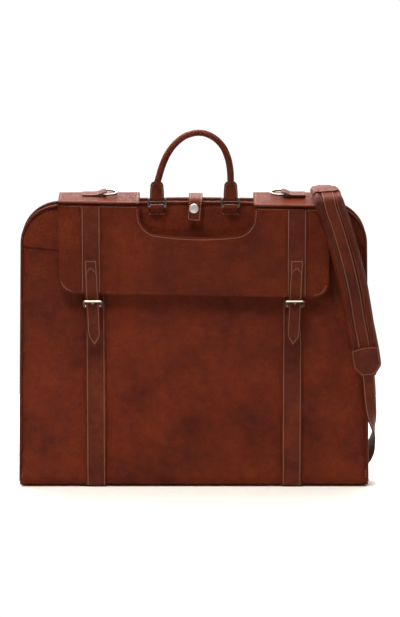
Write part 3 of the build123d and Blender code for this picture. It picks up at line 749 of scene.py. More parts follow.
    def sew(self, name: str, runs: list[tuple[list[Flat], float]], place: Place, slot: str,
            pitch: float = 0.0044, thread: float = 0.00052) -> bpy.types.Object:
        """Lays a thread stitch by stitch along lines on a piece.

        Args:
            name: The seam's name.
            runs: Each line's corners on the flat piece, with the depth of the face that it is on.
            place: From flat position and depth to space.
            slot: The record's material slot; passed on but not used.
            pitch: Distance from stitch to stitch.
            thread: The thread's radius.

        Returns:
            The object that holds the stitches.
        """
        made = bmesh.new()
        for line, depth in runs:
            marks = [0.0]
            for (a0, b0), (a1, b1) in zip(line, line[1:]):
                marks.append(marks[-1] + hypot(a1 - a0, b1 - b0))
            count = max(int(marks[-1] / pitch), 1)
            for k in range(count):
                ends = [self.along(line, marks, (k + share) / count * marks[-1]) for share in (0.22, 0.70)]
                first, last = (place(a, b, depth) for a, b in ends)
                middle = (ends[0][0] + ends[1][0]) / 2, (ends[0][1] + ends[1][1]) / 2
                lift = (place(*middle, depth + 0.001) - place(*middle, depth)).normalized()
                way = last - first
                side = lift.cross(way).normalized()
                turn = Matrix((way.normalized(), side, way.normalized().cross(side))).transposed().to_4x4()
                size = Matrix.Diagonal((way.length / 2, thread, thread * 0.9, 1.0))
                centre = Matrix.Translation((first + last) / 2 + lift * thread * 0.3)
                bmesh.ops.create_icosphere(made, subdivisions=1, radius=1.0, matrix=centre @ turn @ size)
        return self.hand_over(made, name, (Finish.THREAD,), slot)

    @staticmethod
    def along(line: list[Flat], marks: list[float], distance: float) -> Flat:
        """The flat point at a distance along a line."""
        i = min(max(bisect_right(marks, distance) - 1, 0), len(marks) - 2)
        share = (distance - marks[i]) / max(marks[i + 1] - marks[i], 1e-9)
        (a0, b0), (a1, b1) = line[i], line[i + 1]
        return a0 + (a1 - a0) * share, b0 + (b1 - b0) * share

    def keep(self, finish: Finish, *nodes: str) -> None:
        """Dresses CAD nodes whose shape is right.

        Args:
            finish: Their finish.
            nodes: Their names.
        """
        for name in nodes:
            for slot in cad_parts[name].material_slots:
                slot.link = "OBJECT"
                slot.material = self.wardrobe[finish]
            LOG.info("%s: kept, %s", name, finish.name)


def ride(body: str, *pieces: bpy.types.Object) -> None:
    """Puts pieces on a body."""
    for piece in pieces:
        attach(piece, body)


# ---------------------------------------------------------------- the bag's body
@dataclass
class Body:
    """Both halves of the folded bag: panels, yoke, gussets, inner walls, edges, spine and bands."""

    bench: Bench
    foot: float = 0.300
    head: float = 0.294
    height: float = 0.4955
    crown: float = 0.006
    corner: float = 0.066
    base: float = 0.0018
    half_depth: float = 0.025
    fold: float = 0.008
    skin: float = 0.0026
    gap: float = 0.005
    seam_side: float = 0.424
    seam_middle: float = 0.405
    seam_half: float = 0.150
    band_x: float = 0.168
    band_width: float = 0.034
    band_skin: float = 0.0018
    band_top: float = 0.372
    stitch_in: float = 0.0042

    @property
    def brow(self) -> float:
        """Height of the top edge at the corners."""
        return self.height - self.crown

    def outline(self, low: float | None = None) -> list[Flat]:
        """The upright outline, anticlockwise from the lower left.

        Args:
            low: Height of the lower edge; the bag's foot if not given.

        Returns:
            X and Z of its corners.
        """
        low = self.base if low is None else low
        inner, start = self.head - self.corner, self.brow - self.corner
        points = [(-self.foot, low), (self.foot, low)]
        points += arc(inner, start, self.corner, 0, 90, 14)
        points += [(inner * (1 - k / 8), self.brow + self.crown * (1 - (1 - k / 8)**2)) for k in range(1, 16)]
        points += arc(-inner, start, self.corner, 90, 180, 14)
        return points

    def inside(self, x: float, z: float) -> float:
        """How far a point is inside the outline."""
        inner, start = self.head - self.corner, self.brow - self.corner
        if abs(x) > inner and z > start:
            return self.corner - hypot(abs(x) - inner, z - start)
        side = self.foot + (self.head - self.foot) * (z - self.base) / (start - self.base)
        top = self.brow + self.crown * (1 - min(abs(x) / inner, 1.0)**2)
        return min(side - abs(x), top - z)

    def swell(self, x: float, z: float, seed: float) -> float:
        """How far a panel's face stands back from its plane: round edges and slow waves."""
        edge = self.inside(x, z)
        back = 0.0034 * (1 - ease(edge, 0.0, 0.011))
        channel = 0.0006 * exp(-((edge - self.stitch_in) / 0.0011)**2)
        calm = ease(edge, 0.004, 0.05)
        wave = 0.0011 * (1 + ripple(x, seed, z, 0.11, seed))
        wave += 0.00045 * (1 + ripple(x, seed, z, 0.035, seed))
        return back + channel + calm * wave

    def front(self, a: float, b: float, depth: float) -> Vector:
        """A point of the front panel: a across, b up, and round the fold below it."""
        return self.wrap(a, b, depth, -1.0, 1.3)

    def back(self, a: float, b: float, depth: float) -> Vector:
        """A point of the back panel."""
        return self.wrap(a, b, depth, 1.0, 8.6)

    def wrap(self, a: float, b: float, depth: float, side: float, seed: float) -> Vector:
        """A point on a sheet that hangs against one face and turns under the fold.

        Args:
            a: Across.
            b: Height, less than the fold's middle where the sheet turns under.
            depth: Depth in the sheet, its outer face at skin.
            side: -1 for the front, 1 for the back.
            seed: Noise seed.

        Returns:
            The point.
        """
        middle = self.base + self.fold
        out = depth - self.skin
        if b >= middle:
            out -= self.swell(a, b, seed) * ease(b, middle, middle + 0.03)
            return Vector((a, side * (self.half_depth + out), b))
        turn = min((middle - b) / self.fold, pi / 2)
        past = max(middle - b - self.fold * pi / 2, 0.0)
        reach = self.fold + out
        y = self.half_depth - self.fold + reach * cos(turn) - past
        return Vector((a, side * y, middle - reach * sin(turn)))

    def build(self) -> None:
        """Makes and dresses the body."""
        self.panels()
        self.rims()
        self.walls()
        self.bands()

    def seam(self, x: float) -> float:
        """Height of the yoke seam."""
        share = ease(abs(x), self.seam_half, self.foot + 0.12)
        straight = min(max((abs(x) - self.seam_half) / (self.head - self.seam_half), 0.0), 1.0)
        return self.seam_middle + (self.seam_side - self.seam_middle) * (0.5 * straight + 0.5 * share)

    def panels(self) -> None:
        """Front panel, yoke and back panel with their seams."""
        low = self.base + self.fold - self.fold * pi / 2
        across = [self.head - 2 * self.head * k / 24 for k in range(25)]
        top = [(x, self.seam(x) + 0.003) for x in across]
        panel = [(-self.foot, low), (self.foot, low), *top]
        yoke_low = [(-x, self.seam(x)) for x in across]
        yoke = yoke_low + self.outline()[3:-1]
        front = self.bench.leather("front_hide", panel, self.skin, (0.012, 0.012), self.front, Finish.HIDE)
        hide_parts("front_panel")

        def over(a: float, b: float, depth: float) -> Vector:
            """The yoke lies over the panel's top edge."""
            raised = 0.0011 * (1 - ease(b, self.seam(a) + 0.004, self.seam(a) + 0.022))
            return self.front(a, b, depth + raised)

        def flat(a: float, b: float, depth: float) -> Vector:
            """The strip under the fold lies level."""
            return Vector((a, b, self.base + self.skin - depth))

        yoke = self.bench.leather("front_yoke_hide", yoke, self.skin, (0.010, 0.010), over, Finish.HIDE)
        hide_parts("front_yoke")
        rear = self.bench.leather("back_hide", self.outline(low), self.skin, (0.014, 0.014), self.back,
                                  Finish.HIDE)
        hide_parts("back_panel")
        edge = inset(self.outline(0.012), self.stitch_in)
        edge = edge[1:] + edge[:1]
        sewn = self.bench.sew("front_seams", [(edge, self.skin)], self.front, "leather")
        rear_sewn = self.bench.sew("back_seams", [(edge, self.skin)], self.back, "leather")
        reach = self.foot - 0.003
        under = oblong(-reach, reach, -0.017, 0.017)
        sole = self.bench.leather("fold_hide", under, self.skin, (0.02, 0.01), flat, Finish.HIDE)
        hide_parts("bottom_fold")
        ride("bag", front, yoke, rear, sewn, rear_sewn, sole)

    def rim_spots(self, out: float, y: float) -> list[Vector]:
        """Points up one side, over the top and down the other, out from the outline by a distance."""
        line = self.outline(0.010)
        line = line[1:] + line[:1]
        return [Vector((x, y, z)) for x, z in self.thicken(inset(line, -out, closed=False))]

    @staticmethod
    def thicken(line: list[Flat]) -> list[Flat]:
        """The same line with points no further apart than 12 mm."""
        made = [line[0]]
        for (a0, b0), (a1, b1) in zip(line, line[1:]):
            count = max(ceil(hypot(a1 - a0, b1 - b0) / 0.012), 1)
            made += [(a0 + (a1 - a0) * k / count, b0 + (b1 - b0) * k / count) for k in range(1, count + 1)]
        return made

    def rims(self) -> None:
        """The raised bead round each panel, and the gussets behind them."""
        y = self.half_depth
        for side, name in HALVES:
            spots = self.rim_spots(-0.0012, side * (y - 0.0012))
            bead = self.bench.tube(name + "_bead", spots, 0.0022, Finish.STRAP, "leather_edge")
            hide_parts(name + "_piping")
            line = self.rim_spots(0.0, 0.0)
            count = len(line) - 1
            lengths = [0.0]
            for first, last in zip(line, line[1:]):
                lengths.append(lengths[-1] + (last - first).length)
            strip = oblong(0.0, lengths[-1], 0.0, y - self.gap - 0.0015)

            def place(a: float, b: float, depth: float, side: float = side) -> Vector:
                """A point of the gusset: a round the outline, b from the inner wall to the panel."""
                i = min(max(bisect_right(lengths, a) - 1, 0), count - 1)
                share = (a - lengths[i]) / (lengths[i + 1] - lengths[i])
                spot = line[i].lerp(line[i + 1], share)
                way = (line[min(i + 2, count)] - line[max(i - 1, 0)]).normalized()
                inward = Vector((way.z, 0.0, -way.x))
                if inward.dot(Vector((0.0, 0.0, 0.25)) - spot) < 0:
                    inward = -inward
                width = y - self.gap
                sag = 0.0026 * sin(pi * min(max(b / width, 0.0), 1.0))
                sag += 0.0010 * (1 + ripple(spot.x, b, spot.z, 0.045, 4.0 + side))
                return Vector((0.0, side * (self.gap + b),
                               0.0)) + spot + inward * (0.0008 + sag + 0.002 - depth)

            gusset = self.bench.leather(name + "_gusset_hide", strip, 0.002, (0.012, 0.004), place,
                                        Finish.HIDE)
            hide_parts(name + "_gusset")
            ride("bag", bead, gusset)

    def walls(self) -> None:
        """The two lined inner walls that meet when the bag is folded."""
        outline = inset(self.outline(0.022), 0.0034)
        for side, name in HALVES:
            def place(a: float, b: float, depth: float, side: float = side) -> Vector:
                """A point of an inner wall, billowing a little into its half."""
                billow = 0.0012 * (1 + ripple(a, 0.0, b, 0.09, 2.0 + side))
                billow = billow * ease(self.inside(a, b), 0.006, 0.04) * ease(abs(a), 0.012, 0.03)
                return Vector((a, side * (self.gap + billow + depth), b))

            wall = self.bench.leather(name + "_lining_wall", outline, 0.0016, (0.018, 0.018), place,
                                      Finish.LINING)
            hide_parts(name + "_inner_wall")
            ride("bag", wall)

    def bands(self) -> None:
        """The two reinforcing bands, which pass under the fold."""
        middle = self.base + self.fold
        turn = self.fold * pi / 2
        flat = 2 * (self.half_depth - self.fold)
        half = self.band_width / 2
        for side, name in SIDES:
            x = side * self.band_x
            height = self.band_top - middle
            total = 2 * (height + turn) + flat
            outline = oblong(-half, half, 0.0, total)

            def place(a: float, b: float, depth: float, x: float = x) -> Vector:
                """A point of a band, from the front's top, under the fold, to the back's top."""
                out = depth + 0.0002
                if b < height:
                    return Vector((x + a, -self.half_depth - out, self.band_top - b))
                if b < height + turn:
                    t = (b - height) / self.fold
                    reach = self.fold + out
                    return Vector((x + a, -self.half_depth + self.fold - reach * cos(t),
                                   middle - reach * sin(t)))
                if b < height + turn + flat:
                    return Vector((x + a, -self.half_depth + self.fold + b - height - turn, self.base - out))
                if b < height + 2 * turn + flat:
                    t = (b - height - turn - flat) / self.fold
                    reach = self.fold + out
                    return Vector((x + a, self.half_depth - self.fold + reach * sin(t),
                                   middle - reach * cos(t)))
                return Vector((x + a, self.half_depth + out, middle + b - height - 2 * turn - flat))

            skin = self.band_skin - 0.0003
            band = self.bench.leather("body_band_hide_" + name, outline, skin, (0.017, 0.0022), place,
                                      Finish.STRAP, rounding=0.0006)
            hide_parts("body_band_" + name)
            inner = half - 0.0028
            runs = [([(s * inner, 0.004), (s * inner, total - 0.004)], skin) for s in (-1, 1)]
            runs += [([(-inner, b), (inner, b)], skin) for b in (0.004, total - 0.004)]
            seams = self.bench.sew("body_band_seams_" + name, runs, place, "leather_strap")
            ride("bag", band, seams)


# ---------------------------------------------------------------- the flap
@dataclass
class Flap:
    """The flap: two roofs sewn to the back, the welts, the hanging leaf and its bands."""

    bench: Bench
    half: float = 0.230
    cut_middle: float = 0.0045
    cut_half: float = 0.097
    cut_depth: float = 0.050
    cut_sag: float = 0.004
    cut_corner: float = 0.034
    seam: float = 0.490
    hem: float = 0.336
    corner: float = 0.026
    skin: float = 0.0026
    face: float = -0.036
    band_x: float = 0.175
    band_width: float = 0.034
    band_skin: float = 0.0017
    tilt: float = 0.0165
    roof: tuple[Flat, ...] = ((0.0270, 0.4600), (0.0270, 0.4800), (0.0272, 0.4965), (0.0258, 0.5008),
                              (0.0225, 0.5026), (0.0100, 0.5007), (-0.0100, 0.4977), (-0.0245, 0.4944),
                              (-0.0310, 0.4922), (-0.0336, 0.4900))

    def lower(self, x: float) -> float:
        """How much the flap hangs lower at an X than at the middle, because it was laid over askew."""
        return self.tilt * x

    def leaf(self, a: float, b: float, depth: float) -> Vector:
        """A point of the hanging leaf: a across, b its height."""
        hang = ease(self.seam - b, 0.0, 0.06)
        wave = 0.0009 * ripple(a, 0.0, b, 0.12, 6.0) + 0.0004 * ripple(a, 0.0, b, 0.04, 2.0)
        curl = -0.0010 * exp(-((b - self.hem) / 0.02)**2)
        calm = min(abs(abs(a) - self.band_x) / 0.03, 1.0)
        y = self.face + self.skin - depth + hang * (wave + curl) * calm
        edge = min(b - self.hem, self.half - abs(a))
        y += 0.0006 * exp(-((edge - 0.004) / 0.0011)**2) * (1 if depth > self.skin / 2 else 0)
        return Vector((a, y, b - self.lower(a)))

    def leaf_outline(self) -> list[Flat]:
        """The leaf's outline with its cut-out, anticlockwise from the lower left corner."""
        top, low = self.seam, self.seam - self.cut_depth
        left, right = self.cut_middle - self.cut_half, self.cut_middle + self.cut_half
        sag = [(self.cut_middle + (self.cut_half - self.cut_corner) * (1 - k / 6),
                low - self.cut_sag * (1 - (1 - k / 6)**2)) for k in range(1, 12)]
        points = arc(-self.half + self.corner, self.hem + self.corner, self.corner, 180, 270, 8)
        points += arc(self.half - self.corner, self.hem + self.corner, self.corner, 270, 360, 8)
        points += [(self.half, top), (right, top)]
        points += arc(right - self.cut_corner, low + self.cut_corner, self.cut_corner, 0, -90, 8)
        points += sag
        points += arc(left + self.cut_corner, low + self.cut_corner, self.cut_corner, -90, -180, 8)
        points += [(left, top), (-self.half, top)]
        return points

    def build(self) -> None:
        """Makes and dresses the flap."""
        self.roofs()
        self.front()

    def roofs(self) -> None:
        """The two tops, each one strip from its root on the back to the front seam."""
        route = bent(list(self.roof))
        length = route.length
        left, right = self.cut_middle - self.cut_half, self.cut_middle + self.cut_half
        for name, x0, x1 in (("left", -self.half, left), ("right", right, self.half)):
            outline = oblong(x0, x1, 0.0, length)

            def place(a: float, b: float, depth: float) -> Vector:
                """A point of a roof: a across the bag, b from the root to the seam."""
                point, _, normal = route.at(b)
                share = ease(b, length * 0.45, length)
                wave = 0.0006 * ripple(a, b, 0.0, 0.05, 3.0) * ease(b, 0.03, 0.05)
                lift = normal * (depth + wave)
                return Vector((a, point.y + lift.y, point.z + lift.z - share * self.lower(a)))

            piece = self.bench.leather("flap_roof_" + name, outline, self.skin, (0.015, 0.004), place,
                                       Finish.FLAP)
            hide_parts("flap_top_" + name, *(("flap_roots",) if name == "left" else ()))
            root = [(x0 + 0.004, 0.0085), (x1 - 0.004, 0.0085)]
            runs = [(hem_line(outline, 0.0038), self.skin), (root, self.skin)]
            seams = self.bench.sew("flap_roof_seams_" + name, runs, place, "leather")
            for made in (piece, seams):
                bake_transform(made)
            across = [x0 + (x1 - x0) * k / 24 for k in range(25)]
            spots = [Vector((x, self.face - 0.0008, self.seam + 0.0026 - self.lower(x))) for x in across]
            welt = self.bench.tube("flap_welt_" + name, spots, 0.0019, Finish.STRAP, "leather_edge")
            if name == "left":
                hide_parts("flap_welts")
            ride("flap_top", welt)

    def front(self) -> None:
        """The leaf, its two bands and their seams."""
        outline = self.leaf_outline()
        leaf = self.bench.leather("flap_leaf", outline, self.skin, (0.010, 0.010), self.leaf, Finish.FLAP)
        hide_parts("flap_front")
        seams = self.bench.sew("flap_leaf_seams", [(hem_line(outline, 0.0040), self.skin)], self.leaf,
                               "leather")
        made = [leaf, seams]
        half = self.band_width / 2
        for side, name in SIDES:
            x = side * self.band_x
            shape = oblong(x - half, x + half, self.hem, self.seam - 0.002)

            def place(a: float, b: float, depth: float) -> Vector:
                """A point of a band on the leaf."""
                return self.leaf(a, b, self.skin + 0.0001 + depth)

            band = self.bench.leather("flap_band_" + name, shape, self.band_skin, (0.017, 0.006), place,
                                      Finish.STRAP, rounding=0.0006)
            if name == "left":
                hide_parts("flap_bands")
            inner = half - 0.0028
            low, high = self.hem + 0.003, self.seam - 0.004
            runs = [([(x + s * inner, low), (x + s * inner, high)], self.band_skin) for s in (-1, 1)]
            made += [band, self.bench.sew("flap_band_seams_" + name, runs, place, "leather_strap")]
        for piece in made:
            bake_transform(piece)


# ---------------------------------------------------------------- closures
@dataclass
class Closures:
    """The two buckled straps."""

    bench: Bench
    width: float = 0.023
    skin: float = 0.0024
    back: float = -0.0379
    top: float = 0.398
    tip: float = 0.248
    taper: float = 0.019
    top_x: float = 0.1757
    tip_x: float = 0.1690
    buckle_x: float = 0.172

    def build(self) -> None:
        """Makes both straps, their chapes and dresses the buckles."""
        for side, name in SIDES:
            self.strap(side, name)
        self.chapes()
        self.bench.keep(Finish.NICKEL, *(part + name for part in ("buckle_frame_", "buckle_prong_")
                                         for _, name in SIDES))

    def strap(self, side: float, name: str) -> None:
        """One strap: sewn to the flap above, pointed below, with a row of holes drawn as dark disks of
        painted shadow.
        """
        half, length = self.width / 2, self.top - self.tip
        right = [(half * wide, self.taper * up) for wide, up in ((0.5, 0.5), (0.93, 0.93), (1.0, 1.12))]
        right.append((half, length))
        outline = [(0.0, 0.0), *right, *[(-a, b) for a, b in right[::-1]]]

        def place(a: float, b: float, depth: float) -> Vector:
            """A point of the strap: b up from its tip."""
            share = b / length
            x = side * (self.tip_x + (self.top_x - self.tip_x) * share)
            z = self.tip + b
            bow = 0.0012 * exp(-((z - 0.268) / 0.022)**2)
            bump = 0.0008 * exp(-((z - 0.386) / 0.006)**2) * (1 - (a / half)**2)
            settle = 0.0011 * exp(-((z - 0.326) / 0.006)**2)
            return Vector((x + a, self.back - depth - bow - bump + settle, z))

        strap = self.bench.leather("closure_strap_hide_" + name, outline, self.skin, (0.0058, 0.003), place,
                                   Finish.STRAP, rounding=0.0008)
        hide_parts("closure_strap_" + name)
        line = inset(outline, 0.0026)
        ring = line[5:] + line[:5]
        sewn_low = self.top - 0.024 - self.tip
        tack = [(-half + 0.0026, sewn_low), (0.0, sewn_low + 0.011), (half - 0.0026, sewn_low)]
        runs = [(ring + ring[:1], self.skin), (tack, self.skin)]
        seams = self.bench.sew("closure_seams_" + name, runs, place, "leather_strap", pitch=FINE_PITCH,
                               thread=FINE_THREAD)
        # Two dark disks on the strap's face are painted shadow: they stand in for the shaded insides of the
        # holes.
        hole_shadow_mesh = bmesh.new()
        for height in (0.3125, 0.2860):
            centre = Matrix.Translation(place(0.0, height - self.tip, self.skin))
            bmesh.ops.create_cone(hole_shadow_mesh, cap_ends=True, segments=16, radius1=0.0019, radius2=0.0015,
                                  depth=0.0008, matrix=centre @ Matrix.Rotation(pi / 2, 4, "X"))
        hole_shadows = self.bench.hand_over(hole_shadow_mesh, "closure_hole_shadows_" + name, (Finish.HOLE_SHADOW,), "leather_strap")
        ride("flap_front", strap, seams, hole_shadows)

    def chapes(self) -> None:
        """The folded leather that holds each buckle."""
        for side, name in SIDES:
            bar_y, bar_z, turn = -0.0314, 0.3165, 0.0034
            profile = [(-0.0278, 0.2735), (-0.0284, 0.295), (-0.0280, 0.3120),
                       (bar_y + turn * 0.75, bar_z + turn * 0.6), (bar_y, bar_z + turn),
                       (bar_y - turn * 0.8, bar_z + turn * 0.5), (bar_y - turn * 0.75, bar_z - turn * 0.7),
                       (-0.0312, 0.3095), (-0.0304, 0.3010), (-0.0300, 0.2735)]
            route = bent(profile, side * self.buckle_x, 5)
            half = self.width / 2 - 0.0003
            outline = oblong(-half, half, 0.0, route.length)
            chape = self.bench.leather("buckle_chape_hide_" + name, outline, 0.0009, (0.0115, 0.0016),
                                       route.place,
                                       Finish.STRAP, rounding=0.0004)
            if name == "left":
                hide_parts("buckle_chapes")
            inner = half - 0.0026
            end = route.length
            line = [(-inner, end - 0.017), (-inner, end - 0.003), (inner, end - 0.003), (inner, end - 0.017)]
            seams = self.bench.sew("buckle_chape_seams_" + name, [(line, 0.0009)], route.place,
                                   "leather_strap")
            ride("bag", chape, seams)


# ---------------------------------------------------------------- handle
@dataclass
class Handle:
    """The rolled handle on its two rings."""

    bench: Bench
    ring_x: float = 0.0625
    ring_y: float = -0.031
    lower_bar: float = 0.4885
    upper_bar: float = 0.502
    tab_width: float = 0.024
    tab_top: float = 0.531
    grip: float = 0.0058

    def build(self) -> None:
        """Makes the grip, tabs and chapes, and dresses the rings."""
        self.roll()
        for side, name in SIDES:
            self.tab(side, name)
            self.chape(side, name)
        self.bench.keep(Finish.NICKEL, "handle_ring_left", "handle_ring_right")

    def roll(self) -> None:
        """The rolled grip, its ends fading into the tabs."""
        line = [(-0.0625, 0.5105), (-0.0622, 0.5260), (-0.0588, 0.5400), (-0.0536, 0.5570), (-0.0458, 0.5755),
                (-0.0342, 0.5925), (-0.0190, 0.6060), (-0.0062, 0.6118), (0.0072, 0.6142), (0.0212, 0.6122),
                (0.0366, 0.6040), (0.0500, 0.5893), (0.0580, 0.5700), (0.0614, 0.5518), (0.0624, 0.5350),
                (0.0625, 0.5105)]
        route = Route([(Vector((x, self.ring_y, z)), Vector((0.0, -1.0, 0.0))) for x, z in line], 6)

        def place(share: float, turn: float) -> Vector:
            """A point on the roll's skin."""
            b = share * route.length
            point, across, normal = route.at(b)
            end = min(b, route.length - b)
            size = self.grip * (0.50 + 0.50 * ease(end, 0.0, 0.019))
            angle = 2 * pi * turn
            swell = 1.0 + 0.018 * ripple(point.x, 0.01 * cos(angle), point.z, 0.030, 1.0)
            seam = 1.0 - 0.08 * exp(-((turn - 0.75) / 0.03)**2)
            wide = 1.0 - 0.05 * ease(end, 0.06, 0.11)
            return point + (across * cos(angle) * wide + normal * sin(angle)) * size * swell * seam

        grip = self.bench.rolled("handle_roll", 150, 24, place, Finish.STRAP, "leather_strap")
        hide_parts("handle_grip")
        inner = [route.at(route.length * (0.03 + 0.94 * k / 90))[0] for k in range(91)]
        core = self.bench.tube("handle_cord", inner, 0.0030, Finish.CORE, "cord_core", rows=8)
        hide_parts("handle_core")
        under = [(0.0, 0.024), (0.0, route.length - 0.024)]
        seam = self.bench.sew("handle_roll_seam", [(under, -self.grip * 0.93)], route.place, "leather_strap",
                              pitch=0.0038)
        ride("handle", grip, core, seam)

    def tab(self, side: float, name: str) -> None:
        """An end tab: one strip down the front, round the ring and up the back."""
        turn, top = 0.0030, self.tab_top
        y, bar = self.ring_y, self.upper_bar
        profile = [(y - 0.0024, top), (y - 0.0026, bar + 0.012), (y - 0.0026, bar + 0.005), (y - turn, bar),
                   (y - turn * 0.7, bar - turn * 0.7), (y, bar - turn), (y + turn * 0.7, bar - turn * 0.7),
                   (y + turn, bar), (y + 0.0026, bar + 0.005), (y + 0.0026, bar + 0.012), (y + 0.0024, top)]
        route = bent(profile, side * self.ring_x, 4)
        length, half = route.length, self.tab_width / 2

        def place(a: float, b: float, depth: float) -> Vector:
            """A point of the tab, swollen over the roll's end."""
            point = route.place(a, b, depth)
            rise = ease(point.z, bar + 0.006, top)
            bulge = 0.0030 * rise * max(1 - (a / 0.0075)**2, 0.0)
            away = -1.0 if point.y < y else 1.0
            narrow = 1.0 - 0.10 * rise
            centre = side * self.ring_x
            return Vector((centre + (point.x - centre) * narrow, point.y + away * bulge, point.z))

        skin, shoulder = 0.0016, 0.0075
        outline = box_outline(2 * half, 0.0, length, (shoulder,) * 4)
        piece = self.bench.leather("handle_tab_hide_" + name, outline, skin, (0.003, 0.0022), place,
                                   Finish.STRAP,
                                   rounding=0.0006)
        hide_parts("handle_tab_" + name)
        inner = half - 0.0024
        reach = length * 0.5 - 0.007
        front = [(-inner, reach), (-inner, shoulder), (-inner + 0.004, 0.0030)]
        mirror = [(-a, b) for a, b in front]
        runs = [(front, skin), (mirror, skin)]
        runs += [([(a, length - b) for a, b in line], skin) for line in (front, mirror)]
        seams = self.bench.sew("handle_tab_seams_" + name, runs, place, "leather_strap", pitch=0.0034,
                               thread=FINE_THREAD)
        ride("handle", piece, seams)

    def chape(self, side: float, name: str) -> None:
        """The loop that holds a ring, coming out of its slit in the yoke."""
        y, bar, turn = self.ring_y, self.lower_bar, 0.0027
        profile = [(-0.0215, 0.4745), (-0.0235, 0.4815), (-0.0275, 0.4845), (y + turn, bar),
                   (y + turn * 0.7, bar + turn * 0.7), (y, bar + turn), (y - turn * 0.7, bar + turn * 0.7),
                   (y - turn, bar), (y - turn * 0.7, bar - 0.0040), (-0.0288, 0.4805), (-0.0240, 0.4775),
                   (-0.0215, 0.4700)]
        route = bent(profile, side * self.ring_x, 5)
        half = 0.0115
        outline = oblong(-half, half, 0.0, route.length)
        piece = self.bench.leather("ring_chape_hide_" + name, outline, 0.0015, (0.0115, 0.0016), route.place,
                                   Finish.STRAP, rounding=0.0005)
        if name == "left":
            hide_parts("handle_ring_chapes")
        left, right = side * self.ring_x - 0.014, side * self.ring_x + 0.014
        slit = oblong(left, right, -0.0015, 0.0015)

        def sunk(a: float, b: float, depth: float) -> Vector:
            """A point on the yoke's face at the slit, where a dark sheet is the slit's painted shadow."""
            return Vector((a, -0.0246 - depth, 0.4795 + b))

        # A thin near-black sheet over the slit is painted shadow for the shade inside it.
        slit_shadow = self.bench.leather("ring_slit_" + name, slit, 0.0006, (0.0, 0.0), sunk, Finish.HOLE_SHADOW,
                                 rounding=0.0002)
        row = [(left, -0.0050), (right, -0.0050)]
        seams = self.bench.sew("ring_slit_seams_" + name, [(row, 0.0002)], sunk, "leather_strap")
        ride("bag", piece, slit_shadow, seams)


# ---------------------------------------------------------------- hanger tab
@dataclass
class HangerTab:
    """The strap that comes over the top and snaps to the front."""

    bench: Bench
    width: float = 0.0238
    skin: float = 0.0024
    low: float = 0.463
    snap_z: float = 0.485
    snap_r: float = 0.008
    face: float = -0.0325

    def build(self) -> None:
        """Makes the tab and its snap."""
        profile = [(0.0272, 0.436), (0.0272, 0.470), (0.0274, 0.490), (0.0268, 0.4975), (0.0225, 0.5015),
                   (0.008, 0.5022), (-0.012, 0.5014), (-0.0235, 0.4998), (-0.0284, 0.4958), (-0.0300, 0.4900),
                   (-0.0301, 0.4760), (-0.0301, self.low)]
        stations = []
        for i, (y, z) in enumerate(profile):
            y0, z0 = profile[max(i - 1, 0)]
            y1, z1 = profile[min(i + 1, len(profile) - 1)]
            lean = 0.0032 if y > -0.026 else 0.0032 - 0.0037 * (0.4998 - z) / (0.4998 - self.low)
            stations.append((Vector((lean, y, z)), Vector((0.0, z1 - z0, y0 - y1))))
        route = Route(stations, 6)
        outline = box_outline(self.width, 0.0, route.length, (0.0, 0.0, 0.004, 0.004))
        tab = self.bench.leather("hanger_tab_hide", outline, self.skin, (0.006, 0.003), route.place,
                                 Finish.STRAP,
                                 rounding=0.0008)
        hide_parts("hanger_tab_strap", "hanger_tab_end")
        seams = self.bench.sew("hanger_tab_seams", [(hem_line(outline, 0.0026), self.skin)], route.place,
                               "leather_strap",
                               pitch=FINE_PITCH, thread=FINE_THREAD)
        for piece in (tab, seams):
            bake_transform(piece)
        self.cap()
        self.bench.keep(Finish.SNAP, "snap_socket", "snap_stud")

    def cap(self) -> None:
        """The snap's cap: a shallow dome with a rolled edge and a ring pressed into it."""
        made = bmesh.new()
        r = self.snap_r
        profile = [(0.0, 0.0017), (r * 0.45, 0.0016), (r * 0.62, 0.00135), (r * 0.70, 0.00105),
                   (r * 0.78, 0.0013),
                   (r * 0.90, 0.0011), (r * 0.985, 0.0006), (r, 0.0), (r * 0.9, -0.0001), (0.0, -0.0001)]
        spots = [made.verts.new((a, -d, 0.0)) for a, d in profile]
        edges = [made.edges.new(pair) for pair in zip(spots, spots[1:])]
        bmesh.ops.spin(made, geom=spots + edges, cent=(0, 0, 0), axis=(0, 1, 0), steps=40, angle=2 * pi,
                       use_merge=True)
        bmesh.ops.remove_doubles(made, verts=made.verts[:], dist=1e-6)
        bmesh.ops.recalc_face_normals(made, faces=made.faces[:])
        bmesh.ops.translate(made, verts=made.verts[:], vec=(0.0, self.face, self.snap_z))
        cap = self.bench.hand_over(made, "snap_cap_dome", (Finish.SNAP,), "snap_metal")
        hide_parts("snap_cap")
        ride("hanger_tab", cap)


